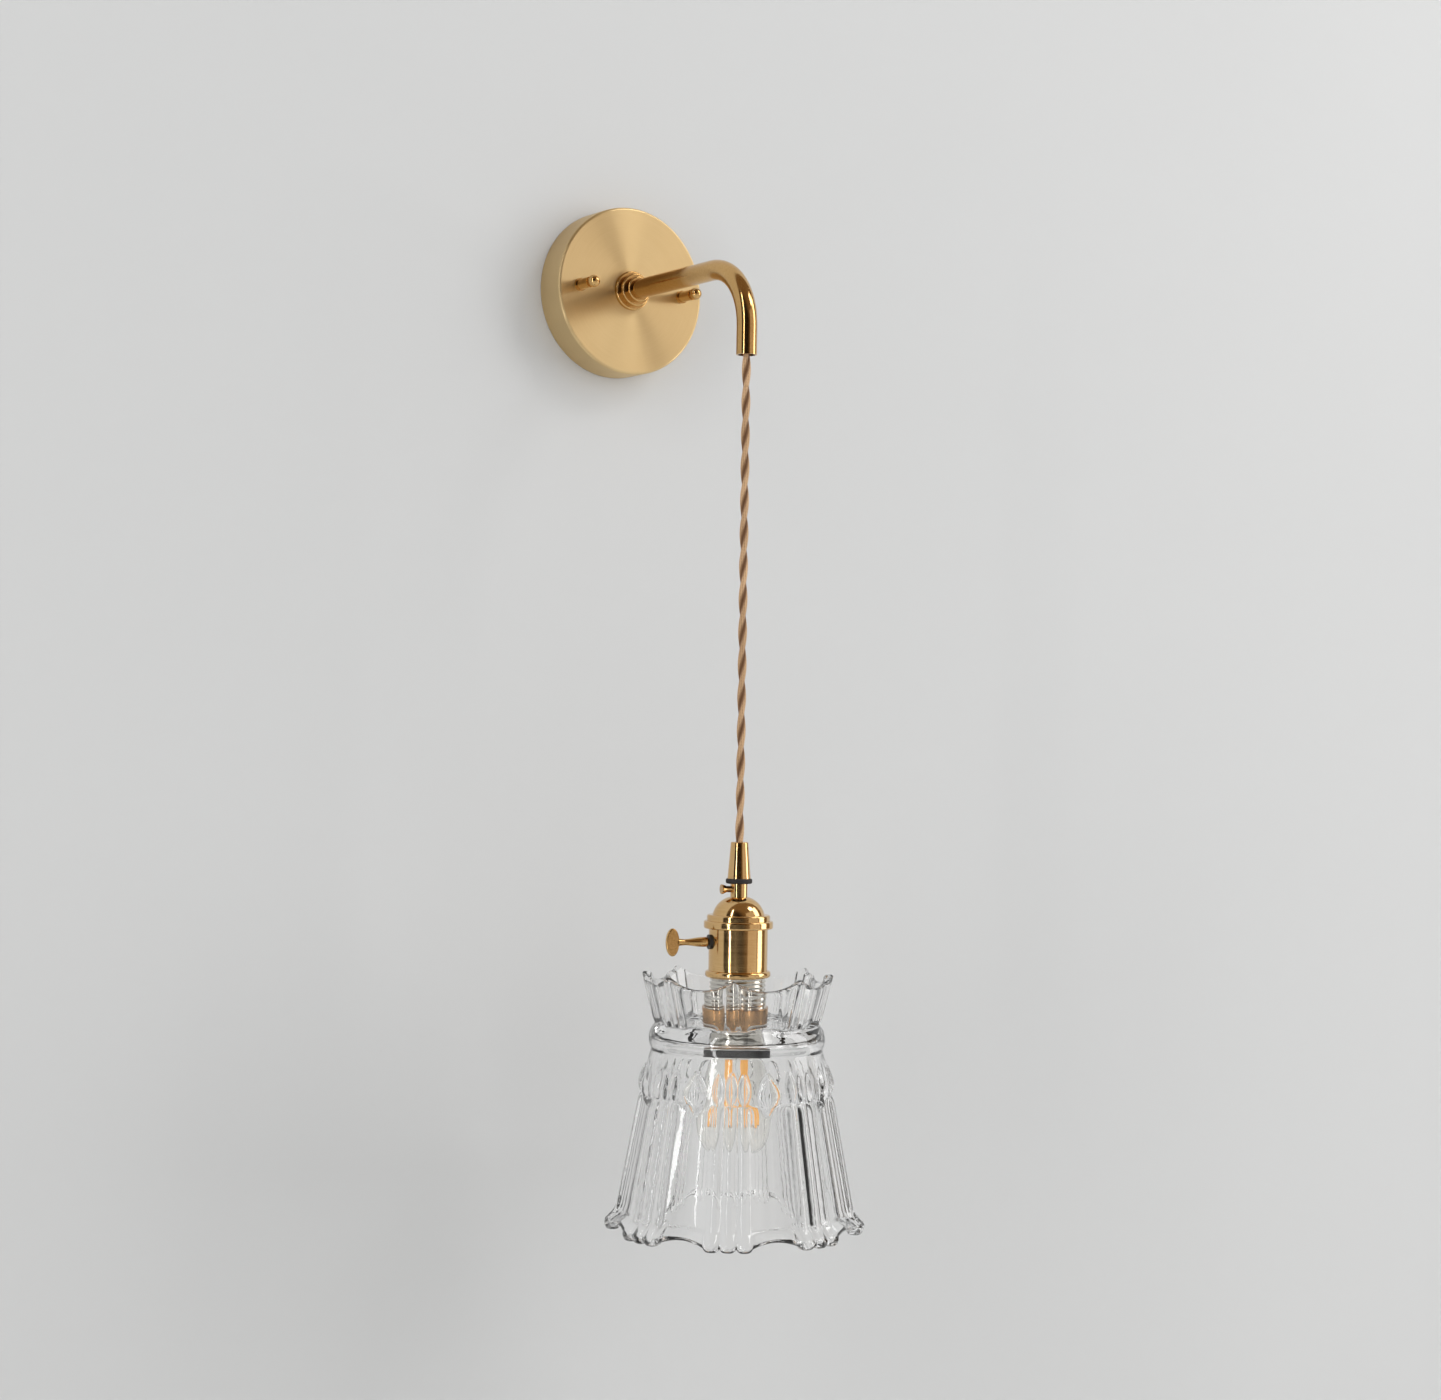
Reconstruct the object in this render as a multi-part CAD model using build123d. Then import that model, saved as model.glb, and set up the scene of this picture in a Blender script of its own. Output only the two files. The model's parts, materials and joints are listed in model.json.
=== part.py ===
from build123d import *
import os
from math import acos, atan2, cos, degrees, radians, sin

# Glass wall lamp. A brass canopy and a bent arm carry a keyed lamp socket and a
# pressed-glass shade on a twisted cord. Millimetres, +Z up. The origin is the
# canopy's centre on the wall plane, and the lamp stands out towards -Y.

# Fits
FIT = 0.05  # radial gap of turned pieces that screw or push together
SEAT = 0.3  # gap between a soft or moving piece and what guides it
HOLE_PLAY = 0.3  # radial play of a plain hole round a screw

# Canopy and its bracket
CANOPY_D = 103.0
CANOPY_DEPTH = 22.5
CANOPY_WALL = 1.0
CANOPY_EDGE_R = 1.6
STRAP_WIDTH = 18.0
STRAP_T = 1.5
STRAP_RISE = 3.0  # how far the strap's ends stand off the wall
STRAP_INSET = 5.75  # strap end to canopy edge
STRAP_CORNER_R = 3.0
STUD_INSET = 14.75  # stud axis to canopy edge
STUD_D = 4.0
STUD_HEAD_D = 8.0
STUD_HEAD_H = 2.5
STUD_GRIP = 8.0  # stud length inside the cap nut
STUD_NUT_AF = 7.0
STUD_NUT_H = 3.2
WALL_SLOT_SPACING = 34.0
WALL_SLOT_LENGTH = 14.0
WALL_SLOT_WIDTH = 4.6

# Cap nuts
NUT_FOOT_D = 8.0
NUT_FOOT_H = 1.4
NUT_BARREL_D = 6.6
NUT_BARREL_H = 11.4
NUT_NECK_D = 4.6
NUT_BALL_D = 7.4
NUT_BORE_TAIL = 1.0  # bore left free past the stud's tip

# Arm
REACH = 150.0  # lamp axis to wall
ARM_DROP = 54.0  # canopy axis down to the mouth
ARM_BEND_R = 37.0
ARM_TUBE_D = 12.0
ARM_TUBE_WALL = 1.0
COLLAR_FLANGE_D = 24.0
COLLAR_FLANGE_H = 2.6
COLLAR_RING_D = 20.0
COLLAR_RING_H = 4.0
COLLAR_NECK_D = 15.6
COLLAR_NECK_H = 3.6
COLLAR_STEP_R = 0.8
NIPPLE_D = 10.0
NIPPLE_WALL = 1.4
NIPPLE_GRIP = 4.0  # nipple length inside the collar
COLLAR_WEB = 1.0
WASHER_D = 18.0
WASHER_H = 1.2
LOCK_NUT_AF = 14.0
LOCK_NUT_H = 4.0
GLAND_D = 13.0
GLAND_GRIP = 2.5  # nipple length inside the gland
GLAND_LIP = 3.0
MOUTH_BUSH_H = 8.0

# Terminal block on the bracket's tab
BLOCK_WIDTH = 18.0
BLOCK_HEIGHT = 17.0
BLOCK_DEPTH = 12.0
BLOCK_TOP_DROP = 12.0  # canopy axis to the block's top
BLOCK_EDGE_R = 1.0
TAB_MARGIN = 2.0
POLE_SPACING = 9.0
WIRE_D = 2.0
WIRE_SPREAD = 2.6  # conductor spacing where the cord opens
WIRE_BEND_R = 2.0
WIRE_DEPTH = 4.0  # conductor length inside the block
TERMINAL_SCREW_D = 3.0
TERMINAL_SCREW_H = 5.0
TERMINAL_SCREW_PITCH = 8.0
BLOCK_SCREW_D = 3.0
BLOCK_SCREW_HEAD_D = 5.5
BLOCK_SCREW_HEAD_H = 2.0

# Cord
CORD_D = 5.2  # over both twisted strands
CORD_DROP = 280.8  # mouth of the arm to the top of the grip
CORD_PIVOT_GAP = 28.0  # side-swing pivot down to the fore-and-aft pivot
CORD_GRIP_DEPTH = 4.0  # cord length inside the grip's mouth

# Socket head, from the top down
GRIP_TOP_D = 10.0
GRIP_BASE_D = 13.4
GRIP_H = 21.0
GRIP_EDGE_R = 0.7
GRIP_RING_D = 15.3
GRIP_RING_H = 2.9
GRIP_RING_EDGE_R = 0.95
GRIP_SPIGOT_D = 8.0
GRIP_SPIGOT_H = 6.0  # spigot length inside the bushing
BUSHING_D = 9.8
BUSHING_H = 7.8
BUSHING_TAIL_D = 8.6
BUSHING_RIVET_D = 11.5
BUSHING_RIVET_H = 1.2
CAP_WALL = 0.8
CAP_CROWN_D = 11.6  # flat round the bushing
DOME_D = 30.0
DOME_H = 10.0
DOME_BULGE = 1.3
BRIM_H = 3.5
BRIM_GAP = 0.45  # shell to the inside of the brim
BRIM_EDGE_R = 1.2
COLLAR_H = 4.5
COLLAR_RADIAL = 2.95
COLLAR_EDGE_R = 1.0
SHELL_H = 24.0
SHELL_WALL = 0.8
SHELL_LAP = 2.0  # shell height inside the cap
BEAD_H = 4.0
BEAD_RADIAL = 1.9
BEAD_EDGE_R = 1.6
KEY_DROP = 7.5  # collar ring down to the key's axis

# Lamp holder inside the shell
SCREW_BORE_D = 26.8  # inside of the lamp thread
SCREW_WALL = 0.5
SCREW_H = 29.0
SCREW_OPENING_D = 14.0
CARRIER_GAP = 1.05  # lamp thread to carrier
CARRIER_WALL = 1.2
CARRIER_TAIL = 0.5  # carrier below the lower ring
INSERT_H = 21.0
INSERT_GAP = 0.2
INSERT_TOP_GAP = 1.0
CONTACT_D = 10.0
CONTACT_T = 0.6
CONTACT_DROP = 3.0
CONTACT_STEM_D = 4.0

# Key switch, in lengths out from the lamp axis
KEY_TURN = 166.0  # bearing of the key, anticlockwise from +X
KEY_STEM_D = 3.4
KEY_BULB_D = 5.6
KEY_BULB_AT = 3.2  # bush face to the thickest place
KEY_WAIST_D = 3.5
KEY_NECK_D = 4.4
KEY_NECK_L = 3.0  # waist to the paddle
KEY_STEM_L = 17.4  # bush face to the paddle
KEY_PADDLE_L = 8.0
KEY_PADDLE_H = 16.0
KEY_PADDLE_T = 2.4
KEY_PADDLE_EDGE_R = 0.8
KEY_PADDLE_LAP = 0.8  # stem length sunk in the paddle
KEY_BUSH_D = 8.4
KEY_BUSH_FLANGE = 1.2
KEY_BUSH_BODY_D = 5.6
KEY_BUSH_L = 2.4
ROTOR_D = 7.2
ROTOR_L = 5.0
ROTOR_START = 6.0
SET_SCREW_D = 3.6
SET_SCREW_HEAD_D = 5.6
SET_SCREW_HEAD_H = 3.3
SET_SCREW_REACH = 2.6  # bare shank outside the bushing
SET_SCREW_DROP = 3.2

# Shade clamp
SHADE_DROP = 27.5  # shell bead down to the glass floor
UPPER_RING_H = 10.0
UPPER_RING_RADIAL = 2.8
LOWER_RING_H = 4.0
LOWER_RING_RADIAL = 3.0
RING_EDGE_R = 0.8
GASKET_T = 1.0
GLASS_HOLE_PLAY = 0.85

# Pressed glass: levels down from the top of the floor, radii of the outside
REPEATS = 8
RIBS = 3
RIB_ANGLE = 7.5
PATTERN_TURN = 8.0
FLOOR_T = 7.0
RIM_RISE = 30.0
RIM_R = 54.0
COLLAR_WAIST_R = 46.4
COLLAR_RIB = 1.3
COLLAR_HOLLOW = 2.0
COLLAR_GLASS_T = 4.2
RIM_SAG = 6.0
WAIST_RISE = 1.6  # waist bead's upper edge above the floor
WAIST_BEAD_R = 50.6
WAIST_BEAD_H = 15.0
WAIST_NECK_R = 49.2
SHOULDER_R = 54.6
SHOULDER_H = 20.5
SHOULDER_BULGE = 1.2
SHOULDER_FOOT_H = 5.0
SHOULDER_FOOT_R = 53.8
ALMOND_L = 22.0  # one over each panel, at the shoulder's edge
ALMOND_R = 6.8
ALMOND_SINK = 4.6
PETAL_L = 16.0  # one over each rib
PETAL_R = 3.6
PETAL_SINK = 2.0
PETAL_RISE = 3.0  # middle above the shoulder's edge
SKIRT_H = 67.0
SKIRT_R = 66.6
SKIRT_RIB = 2.0
SKIRT_HOLLOW = 2.4
SKIRT_GLASS_T = 4.4
HEM_H = 7.0
HEM_R = 73.0
HEM_TAIL_H = 4.0
HEM_TAIL_R = 71.2
HEM_ARCH = 5.0
HEM_NOTCH_R = 2.4

# Filament lamp
LAMP_CAP_D = 26.4
LAMP_CAP_WALL = 0.5
LAMP_CAP_H = 24.0
LAMP_CONE_H = 1.4
LAMP_INSULATOR_D = 16.0
LAMP_INSULATOR_H = 1.8
LAMP_CONTACT_D = 9.6
LAMP_CONTACT_H = 0.8
LAMP_GLASS_T = 0.8
LAMP_NECK_R = 13.6
LAMP_NECK_LAP = 8.0  # neck length cemented in the cap
LAMP_GLOBE_R = 22.5
LAMP_LENGTH = 82.5  # cap to the tip of the globe
STEM_FLARE_H = 12.0
STEM_R = 3.0
STEM_H = 21.0
FILAMENTS = 4
FILAMENT_D = 2.6
FILAMENT_L = 42.0
FILAMENT_CIRCLE_D = 13.0
FILAMENT_WIRE_D = 0.6
FILAMENT_LEAD = 4.0  # stem tip down to the filament tops

# Radii that follow from the fits
canopy_r = CANOPY_D / 2
stud_x = canopy_r - STUD_INSET
strap_end = canopy_r - STRAP_INSET
cord_bore = CORD_D + 2 * SEAT
nipple_bore = NIPPLE_D - 2 * NIPPLE_WALL
screw_od = SCREW_BORE_D + 2 * SCREW_WALL
carrier_id = screw_od + 2 * CARRIER_GAP
carrier_od = carrier_id + 2 * CARRIER_WALL
carrier_thread = carrier_od + 2 * FIT
shell_id = carrier_thread
shell_od = shell_id + 2 * SHELL_WALL
collar_bore = shell_od + 2 * FIT
collar_od = collar_bore + 2 * COLLAR_RADIAL
brim_id = shell_od + 2 * BRIM_GAP
brim_od = brim_id + 2 * CAP_WALL
bead_od = shell_od + 2 * BEAD_RADIAL
insert_od = shell_id - 2 * INSERT_GAP
upper_ring_od = carrier_thread + 2 * UPPER_RING_RADIAL
lower_ring_od = carrier_thread + 2 * LOWER_RING_RADIAL
glass_hole = carrier_od + 2 * GLASS_HOLE_PLAY

# Stations along the arm, measured as Y
canopy_face = -CANOPY_DEPTH
canopy_inside = canopy_face + CANOPY_WALL
collar_h = COLLAR_FLANGE_H + COLLAR_RING_H + COLLAR_NECK_H
collar_end = canopy_face - collar_h
nipple_front = canopy_face - NIPPLE_GRIP
tube_seat = nipple_front - COLLAR_WEB
washer_back = canopy_inside + WASHER_H
lock_nut_back = washer_back + LOCK_NUT_H
gland_front = lock_nut_back + SEAT
nipple_back = gland_front + GLAND_GRIP
gland_back = nipple_back + GLAND_LIP
cord_open = gland_back - FIT

# Levels down the lamp axis, measured as Z
mouth_z = -ARM_DROP
swing_z = mouth_z - CORD_PIVOT_GAP
grip_top = mouth_z - CORD_DROP
grip_base = grip_top - GRIP_H
ring_base = grip_base - GRIP_RING_H
cap_top = ring_base - BUSHING_H
dome_base = cap_top - DOME_H
cap_base = dome_base - BRIM_H
collar_base = cap_base - COLLAR_H
shell_base = collar_base - SHELL_H
bead_base = shell_base - BEAD_H
key_z = collar_base - KEY_DROP
insert_top = cap_base - INSERT_TOP_GAP
insert_base = insert_top - INSERT_H
floor_top = bead_base - SHADE_DROP
floor_base = floor_top - FLOOR_T
lower_ring_top = floor_base - GASKET_T
lower_ring_base = lower_ring_top - LOWER_RING_H
carrier_base = lower_ring_base - CARRIER_TAIL
contact_base = insert_base - CONTACT_DROP
lamp_contact_base = contact_base - LAMP_CONTACT_H
lamp_insulator_base = lamp_contact_base - LAMP_INSULATOR_H
lamp_cap_base = lamp_insulator_base - LAMP_CAP_H
globe_tip = lamp_cap_base - LAMP_LENGTH
stem_tip = lamp_cap_base - STEM_H

LAMP_AXIS = Pos(0, -REACH, 0)
KEY_AXIS = LAMP_AXIS * Rot(0, 0, KEY_TURN)


def bar_y(diameter, y_start, y_end):
    """Round bar on the Y axis."""
    base = Plane(origin=(0, y_start, 0), x_dir=(1, 0, 0), z_dir=(0, 1, 0))
    return extrude(base * Circle(diameter / 2), y_end - y_start)


def bar_z(diameter, z_top, z_base):
    """Round bar on the Z axis."""
    return Pos(0, 0, z_base) * extrude(Circle(diameter / 2), z_top - z_base)


def bar_x(diameter, x_start, x_end):
    """Round bar on the X axis."""
    base = Plane(origin=(x_start, 0, 0), x_dir=(0, 1, 0), z_dir=(1, 0, 0))
    return extrude(base * Circle(diameter / 2), x_end - x_start)


def pipe_z(outer, bore, z_top, z_base):
    """Round sleeve on the Z axis."""
    return bar_z(outer, z_top, z_base) - bar_z(bore, z_top, z_base)


def hex_y(across_flats, bore, y_start, y_end):
    """Hexagon nut on the Y axis."""
    base = Plane(origin=(0, y_start, 0), x_dir=(1, 0, 0), z_dir=(0, 1, 0))
    outline = RegularPolygon(across_flats / 2, 6, major_radius=False) - Circle(bore / 2)
    return extrude(base * outline, y_end - y_start)


def lathe_z(*edges):
    """Turned piece on the Z axis from edges drawn as radius and height."""
    return revolve(Plane.XZ * make_face(edges), Axis.Z)


def lathe_outline_z(*points):
    """Turned piece on the Z axis from the corners of its section."""
    return lathe_z(Polyline(*points, close=True))


def lathe_x(*edges):
    """Turned piece on the X axis from edges drawn as station and radius."""
    return revolve(make_face(edges), Axis.X)


def mirrored_pair(piece):
    """The piece and its mirror image across the lamp's middle plane."""
    return Compound(children=[piece, mirror(piece, Plane.YZ)])


# Wall bracket and canopy


def wall_bracket():
    """Joggled steel crossbar with wall-screw slots, stud holes and a terminal tab."""
    pad_inner = 2 * stud_x - strap_end
    flat_end = pad_inner - STRAP_RISE
    half = [(0, 0), (flat_end, 0), (pad_inner, -STRAP_RISE), (strap_end, -STRAP_RISE)]
    front = [(x, y - STRAP_T) for x, y in reversed(half)]
    side = extrude(make_face(Polyline(*half, *front, close=True)), STRAP_WIDTH / 2, both=True)
    corners = side.edges().filter_by(Axis.Y).sort_by(Axis.X)[-2:]
    side = fillet(corners, STRAP_CORNER_R)
    strap = side + mirror(side, Plane.YZ)
    tab_width = BLOCK_WIDTH + 2 * TAB_MARGIN
    tab_foot = BLOCK_TOP_DROP + BLOCK_HEIGHT + TAB_MARGIN
    face = Plane(origin=(0, 0, 0), x_dir=(1, 0, 0), z_dir=(0, -1, 0))
    strap += extrude(face * Pos(0, -tab_foot / 2) * RectangleRounded(tab_width, tab_foot, STRAP_CORNER_R),
                     STRAP_T)
    slot = SlotOverall(WALL_SLOT_LENGTH, WALL_SLOT_WIDTH)
    for side_sign in (-1, 1):
        strap -= extrude(face * Pos(side_sign * WALL_SLOT_SPACING / 2, 0) * slot, STRAP_T)
        strap -= Pos(side_sign * stud_x, 0, 0) * bar_y(STUD_D + 2 * HOLE_PLAY, -STRAP_RISE - STRAP_T, 0)
    strap -= Pos(0, 0, block_middle()) * bar_y(BLOCK_SCREW_D + 2 * FIT, -STRAP_T, 0)
    return strap


def bracket_studs():
    """Two machine screws with their heads behind the strap's raised ends."""
    tip = canopy_face - STUD_GRIP
    stud = bar_y(STUD_HEAD_D, -STRAP_RISE, -STRAP_RISE + STUD_HEAD_H)
    stud += bar_y(STUD_D, tip, -STRAP_RISE)
    return mirrored_pair(Pos(stud_x, 0, 0) * stud)


def stud_nuts():
    """Two hexagon nuts that clamp the studs to the strap."""
    seat = -STRAP_RISE - STRAP_T
    nut = hex_y(STUD_NUT_AF, STUD_D + 2 * FIT, seat - STUD_NUT_H, seat)
    return mirrored_pair(Pos(stud_x, 0, 0) * nut)


def canopy_cover():
    """Drawn brass cup with a rounded front edge and holes for the arm and studs."""
    cup = bar_y(CANOPY_D, canopy_face, 0)
    cup = fillet(cup.edges().filter_by(GeomType.CIRCLE).sort_by(Axis.Y)[0], CANOPY_EDGE_R)
    cup -= bar_y(CANOPY_D - 2 * CANOPY_WALL, canopy_inside, 0)
    cup -= bar_y(NIPPLE_D + 2 * HOLE_PLAY, canopy_face, canopy_inside)
    for side_sign in (-1, 1):
        hole = bar_y(STUD_D + 2 * HOLE_PLAY, canopy_face, canopy_inside)
        cup -= Pos(side_sign * stud_x, 0, 0) * hole
    return cup


def cap_nuts():
    """Two barrel nuts with a foot, a waist and a ball end."""
    foot = canopy_face - NUT_FOOT_H
    shoulder = foot - NUT_BARREL_H
    ball_y = shoulder - NUT_BALL_D / 2
    nut = bar_y(NUT_FOOT_D, foot, canopy_face) + bar_y(NUT_BARREL_D, shoulder, foot)
    nut += bar_y(NUT_NECK_D, ball_y, shoulder)
    nut += Pos(0, ball_y, 0) * Sphere(NUT_BALL_D / 2)
    nut -= bar_y(STUD_D + 2 * FIT, canopy_face - STUD_GRIP - NUT_BORE_TAIL, canopy_face)
    return mirrored_pair(Pos(stud_x, 0, 0) * nut)


# Arm


def arm_collar():
    """Stepped collar, bored for the nipple behind and the tube in front."""
    ring_y = canopy_face - COLLAR_FLANGE_H
    neck_y = ring_y - COLLAR_RING_H
    steps = ((COLLAR_FLANGE_D, ring_y, canopy_face), (COLLAR_RING_D, neck_y, ring_y),
             (COLLAR_NECK_D, collar_end, neck_y))
    body = None
    for diameter, front, back in steps:
        step = bar_y(diameter, front, back)
        step = fillet(step.edges().filter_by(GeomType.CIRCLE).sort_by(Axis.Y)[0], COLLAR_STEP_R)
        body = step if body is None else body + step
    body -= bar_y(NIPPLE_D + 2 * FIT, nipple_front, canopy_face)
    body -= bar_y(nipple_bore, tube_seat, nipple_front)
    body -= bar_y(ARM_TUBE_D + 2 * FIT, collar_end, tube_seat)
    return body


def arm_nipple():
    """Hollow threaded nipple through the canopy."""
    return bar_y(NIPPLE_D, nipple_front, nipple_back) - bar_y(nipple_bore, nipple_front, nipple_back)


def arm_washer():
    """Plain washer inside the canopy."""
    disc = bar_y(WASHER_D, canopy_inside, washer_back)
    return disc - bar_y(NIPPLE_D + 2 * HOLE_PLAY, canopy_inside, washer_back)


def arm_lock_nut():
    """Hexagon nut that draws the collar against the canopy."""
    return hex_y(LOCK_NUT_AF, NIPPLE_D + 2 * FIT, washer_back, lock_nut_back)


def arm_path(y_start, z_end):
    """Centre line of the arm: out from the wall, round the bend and down."""
    return FilletPolyline((0, y_start, 0), (0, -REACH, 0), (0, -REACH, z_end), radius=ARM_BEND_R)


def arm_sweep(section, y_start, z_end):
    """Section drawn round the origin, carried along the arm."""
    start = Plane(origin=(0, y_start, 0), x_dir=(1, 0, 0), z_dir=(0, -1, 0))
    return sweep(start * section, path=arm_path(y_start, z_end))


def arm_tube():
    """Bent brass tube from the collar to its mouth."""
    section = Circle(ARM_TUBE_D / 2) - Circle(ARM_TUBE_D / 2 - ARM_TUBE_WALL)
    return arm_sweep(section, tube_seat, mouth_z)


def mouth_bush():
    """Plastic sleeve pushed up inside the mouth, clear of the cord's swing."""
    base = mouth_z + CORD_D / 2 + 2 * SEAT
    outer = ARM_TUBE_D - 2 * ARM_TUBE_WALL - 2 * FIT
    return LAMP_AXIS * pipe_z(outer, cord_bore, base + MOUTH_BUSH_H, base)


def cord_gland():
    """Nylon cap on the back of the nipple that grips the cord."""
    cap = bar_y(GLAND_D, gland_front, gland_back)
    cap -= bar_y(NIPPLE_D + 2 * FIT, gland_front, nipple_back)
    return cap - bar_y(cord_bore, nipple_back, gland_back)


def arm_cord():
    """Cord through the nipple and the arm, down to the swing at the mouth."""
    return arm_sweep(Circle(CORD_D / 2), cord_open, mouth_z + CORD_D / 2 + SEAT)


# Connections inside the canopy


def wire_y():
    """Depth at which the conductors go down into the block."""
    return -STRAP_T - BLOCK_DEPTH / 2


def feed_wires():
    """Two conductors from the opened cord down into the block."""
    depth = wire_y()
    near = WIRE_SPREAD / 2
    far = POLE_SPACING / 2
    turn_z = -BLOCK_TOP_DROP / 2
    end_z = -BLOCK_TOP_DROP - WIRE_DEPTH
    route = FilletPolyline((near, cord_open, 0), (near, depth, 0), (far, depth, turn_z),
                           (far, depth, end_z), radius=WIRE_BEND_R)
    start = Plane(origin=(near, cord_open, 0), x_dir=(1, 0, 0), z_dir=(0, 1, 0))
    return mirrored_pair(sweep(start * Circle(WIRE_D / 2), path=route))


def block_middle():
    """Height of the terminal block's centre."""
    return -BLOCK_TOP_DROP - BLOCK_HEIGHT / 2


def screw_places():
    """Places of the four clamping screws, across and up."""
    for across in (-POLE_SPACING / 2, POLE_SPACING / 2):
        for up in (-TERMINAL_SCREW_PITCH / 2, TERMINAL_SCREW_PITCH / 2):
            yield Pos(across, 0, block_middle() + up)


def terminal_block():
    """Two-way connector with wire bores, screw wells and a fixing hole."""
    front = -STRAP_T - BLOCK_DEPTH
    block = Pos(0, wire_y(), block_middle()) * Box(BLOCK_WIDTH, BLOCK_DEPTH, BLOCK_HEIGHT)
    block = fillet(block.edges().filter_by(Axis.Z), BLOCK_EDGE_R)
    for across in (-POLE_SPACING / 2, POLE_SPACING / 2):
        bore = bar_z(WIRE_D + 2 * SEAT, -BLOCK_TOP_DROP, -BLOCK_TOP_DROP - BLOCK_HEIGHT)
        block -= Pos(across, wire_y(), 0) * bore
    for place in screw_places():
        block -= place * bar_y(TERMINAL_SCREW_D + 2 * FIT, front, front + TERMINAL_SCREW_H)
    hole = bar_y(BLOCK_SCREW_D + 2 * FIT, front, -STRAP_T)
    hole += bar_y(BLOCK_SCREW_HEAD_D + 2 * HOLE_PLAY, front, front + BLOCK_SCREW_HEAD_H)
    return block - Pos(0, 0, block_middle()) * hole


def terminal_screws():
    """Four clamping screws, flush in their wells."""
    front = -STRAP_T - BLOCK_DEPTH
    screw = bar_y(TERMINAL_SCREW_D, front + FIT, front + TERMINAL_SCREW_H)
    return Compound(children=[place * screw for place in screw_places()])


def block_screw():
    """Screw that holds the block to the bracket's tab."""
    front = -STRAP_T - BLOCK_DEPTH
    seat = front + BLOCK_SCREW_HEAD_H
    screw = bar_y(BLOCK_SCREW_HEAD_D, front, seat) + bar_y(BLOCK_SCREW_D, seat, 0)
    return Pos(0, 0, block_middle()) * screw


# Free cord


def hanging_cord(pivot, z_end):
    """Straight stretch of cord with a ball end that turns about its pivot."""
    stretch = bar_z(CORD_D, pivot, z_end) + Pos(0, 0, pivot) * Sphere(CORD_D / 2)
    return LAMP_AXIS * stretch


def cord_upper():
    """Stretch that swings sideways at the arm's mouth."""
    return hanging_cord(mouth_z, swing_z + CORD_D / 2 + SEAT)


def cord_main():
    """Stretch that swings fore and aft, down into the grip."""
    return hanging_cord(swing_z, grip_top - CORD_GRIP_DEPTH)


# Socket head


def cord_grip():
    """Tapered grip with a spigot that goes down into the bushing."""
    top_r = GRIP_TOP_D / 2
    base_r = GRIP_BASE_D / 2
    spigot_r = GRIP_SPIGOT_D / 2
    spigot_base = ring_base - GRIP_SPIGOT_H
    body = lathe_outline_z((0, grip_top), (top_r, grip_top), (base_r, grip_base),
                           (spigot_r, grip_base), (spigot_r, spigot_base), (0, spigot_base))
    circles = body.edges().filter_by(GeomType.CIRCLE).sort_by(Axis.Z)
    body = fillet(circles[-1], GRIP_EDGE_R)
    return LAMP_AXIS * (body - bar_z(cord_bore, grip_top, spigot_base))


def grip_ring():
    """Dark ring with a round edge under the grip."""
    bore = GRIP_SPIGOT_D + 2 * FIT
    ring = pipe_z(GRIP_RING_D, bore, grip_base, ring_base)
    outer = ring.edges().filter_by(GeomType.CIRCLE).sort_by(SortBy.RADIUS)[-2:]
    return LAMP_AXIS * fillet(outer, GRIP_RING_EDGE_R)


def set_screw_z():
    """Height of the set screw in the bushing."""
    return ring_base - SET_SCREW_DROP


def cap_bushing():
    """Threaded neck riveted through the cap, with a hole for the set screw."""
    rivet_top = cap_top - CAP_WALL
    rivet_base = rivet_top - BUSHING_RIVET_H
    body = bar_z(BUSHING_D, ring_base, cap_top) + bar_z(BUSHING_TAIL_D, cap_top, rivet_base)
    body += bar_z(BUSHING_RIVET_D, rivet_top, rivet_base)
    body -= bar_z(cord_bore, ring_base, rivet_base)
    body -= bar_z(GRIP_SPIGOT_D + 2 * FIT, ring_base, ring_base - GRIP_SPIGOT_H - FIT)
    hole = bar_x(SET_SCREW_D + 2 * FIT, 0, BUSHING_D)
    return KEY_AXIS * (body - Pos(0, 0, set_screw_z()) * hole)


def set_screw():
    """Small screw with a flared head that locks the grip."""
    tip = GRIP_SPIGOT_D / 2 + 2 * FIT
    neck = BUSHING_D / 2 + SET_SCREW_REACH
    end = neck + SET_SCREW_HEAD_H
    shank_r = SET_SCREW_D / 2
    head_r = SET_SCREW_HEAD_D / 2
    screw = lathe_x(Polyline((tip, 0), (tip, shank_r), (neck, shank_r), (end - shank_r / 2, head_r),
                             (end, head_r), (end, 0), close=True))
    return KEY_AXIS * Pos(0, 0, set_screw_z()) * screw


def dome_arc(crown_r, crown_z, foot_r, foot_z):
    """Bulging arc from the crown of the cap down to the foot of its dome."""
    middle = ((crown_r + foot_r) / 2 + DOME_BULGE, (crown_z + foot_z) / 2 + DOME_BULGE)
    return ThreePointArc((crown_r, crown_z), middle, (foot_r, foot_z))


def cap_section(wall):
    """Solid form of the cap, drawn in by a wall thickness."""
    crown_r = CAP_CROWN_D / 2
    dome_r = DOME_D / 2 - wall
    brim_r = brim_od / 2 - wall
    top = cap_top - wall
    foot = dome_base - wall
    dome = dome_arc(crown_r, top, dome_r, foot)
    rest = Polyline((dome_r, foot), (brim_r, foot), (brim_r, cap_base), (0, cap_base), (0, top),
                    (crown_r, top))
    return lathe_z(dome, rest)


def socket_cap():
    """Spun brass cap: a dome that steps out to a round-edged brim."""
    outer = cap_section(0)
    brim = outer.edges().filter_by(GeomType.CIRCLE).group_by(SortBy.RADIUS)[-1].sort_by(Axis.Z)[-1]
    outer = fillet(brim, BRIM_EDGE_R)
    cap = outer - cap_section(CAP_WALL) - bar_z(BUSHING_TAIL_D + 2 * FIT, cap_top, cap_base)
    return LAMP_AXIS * cap


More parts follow.
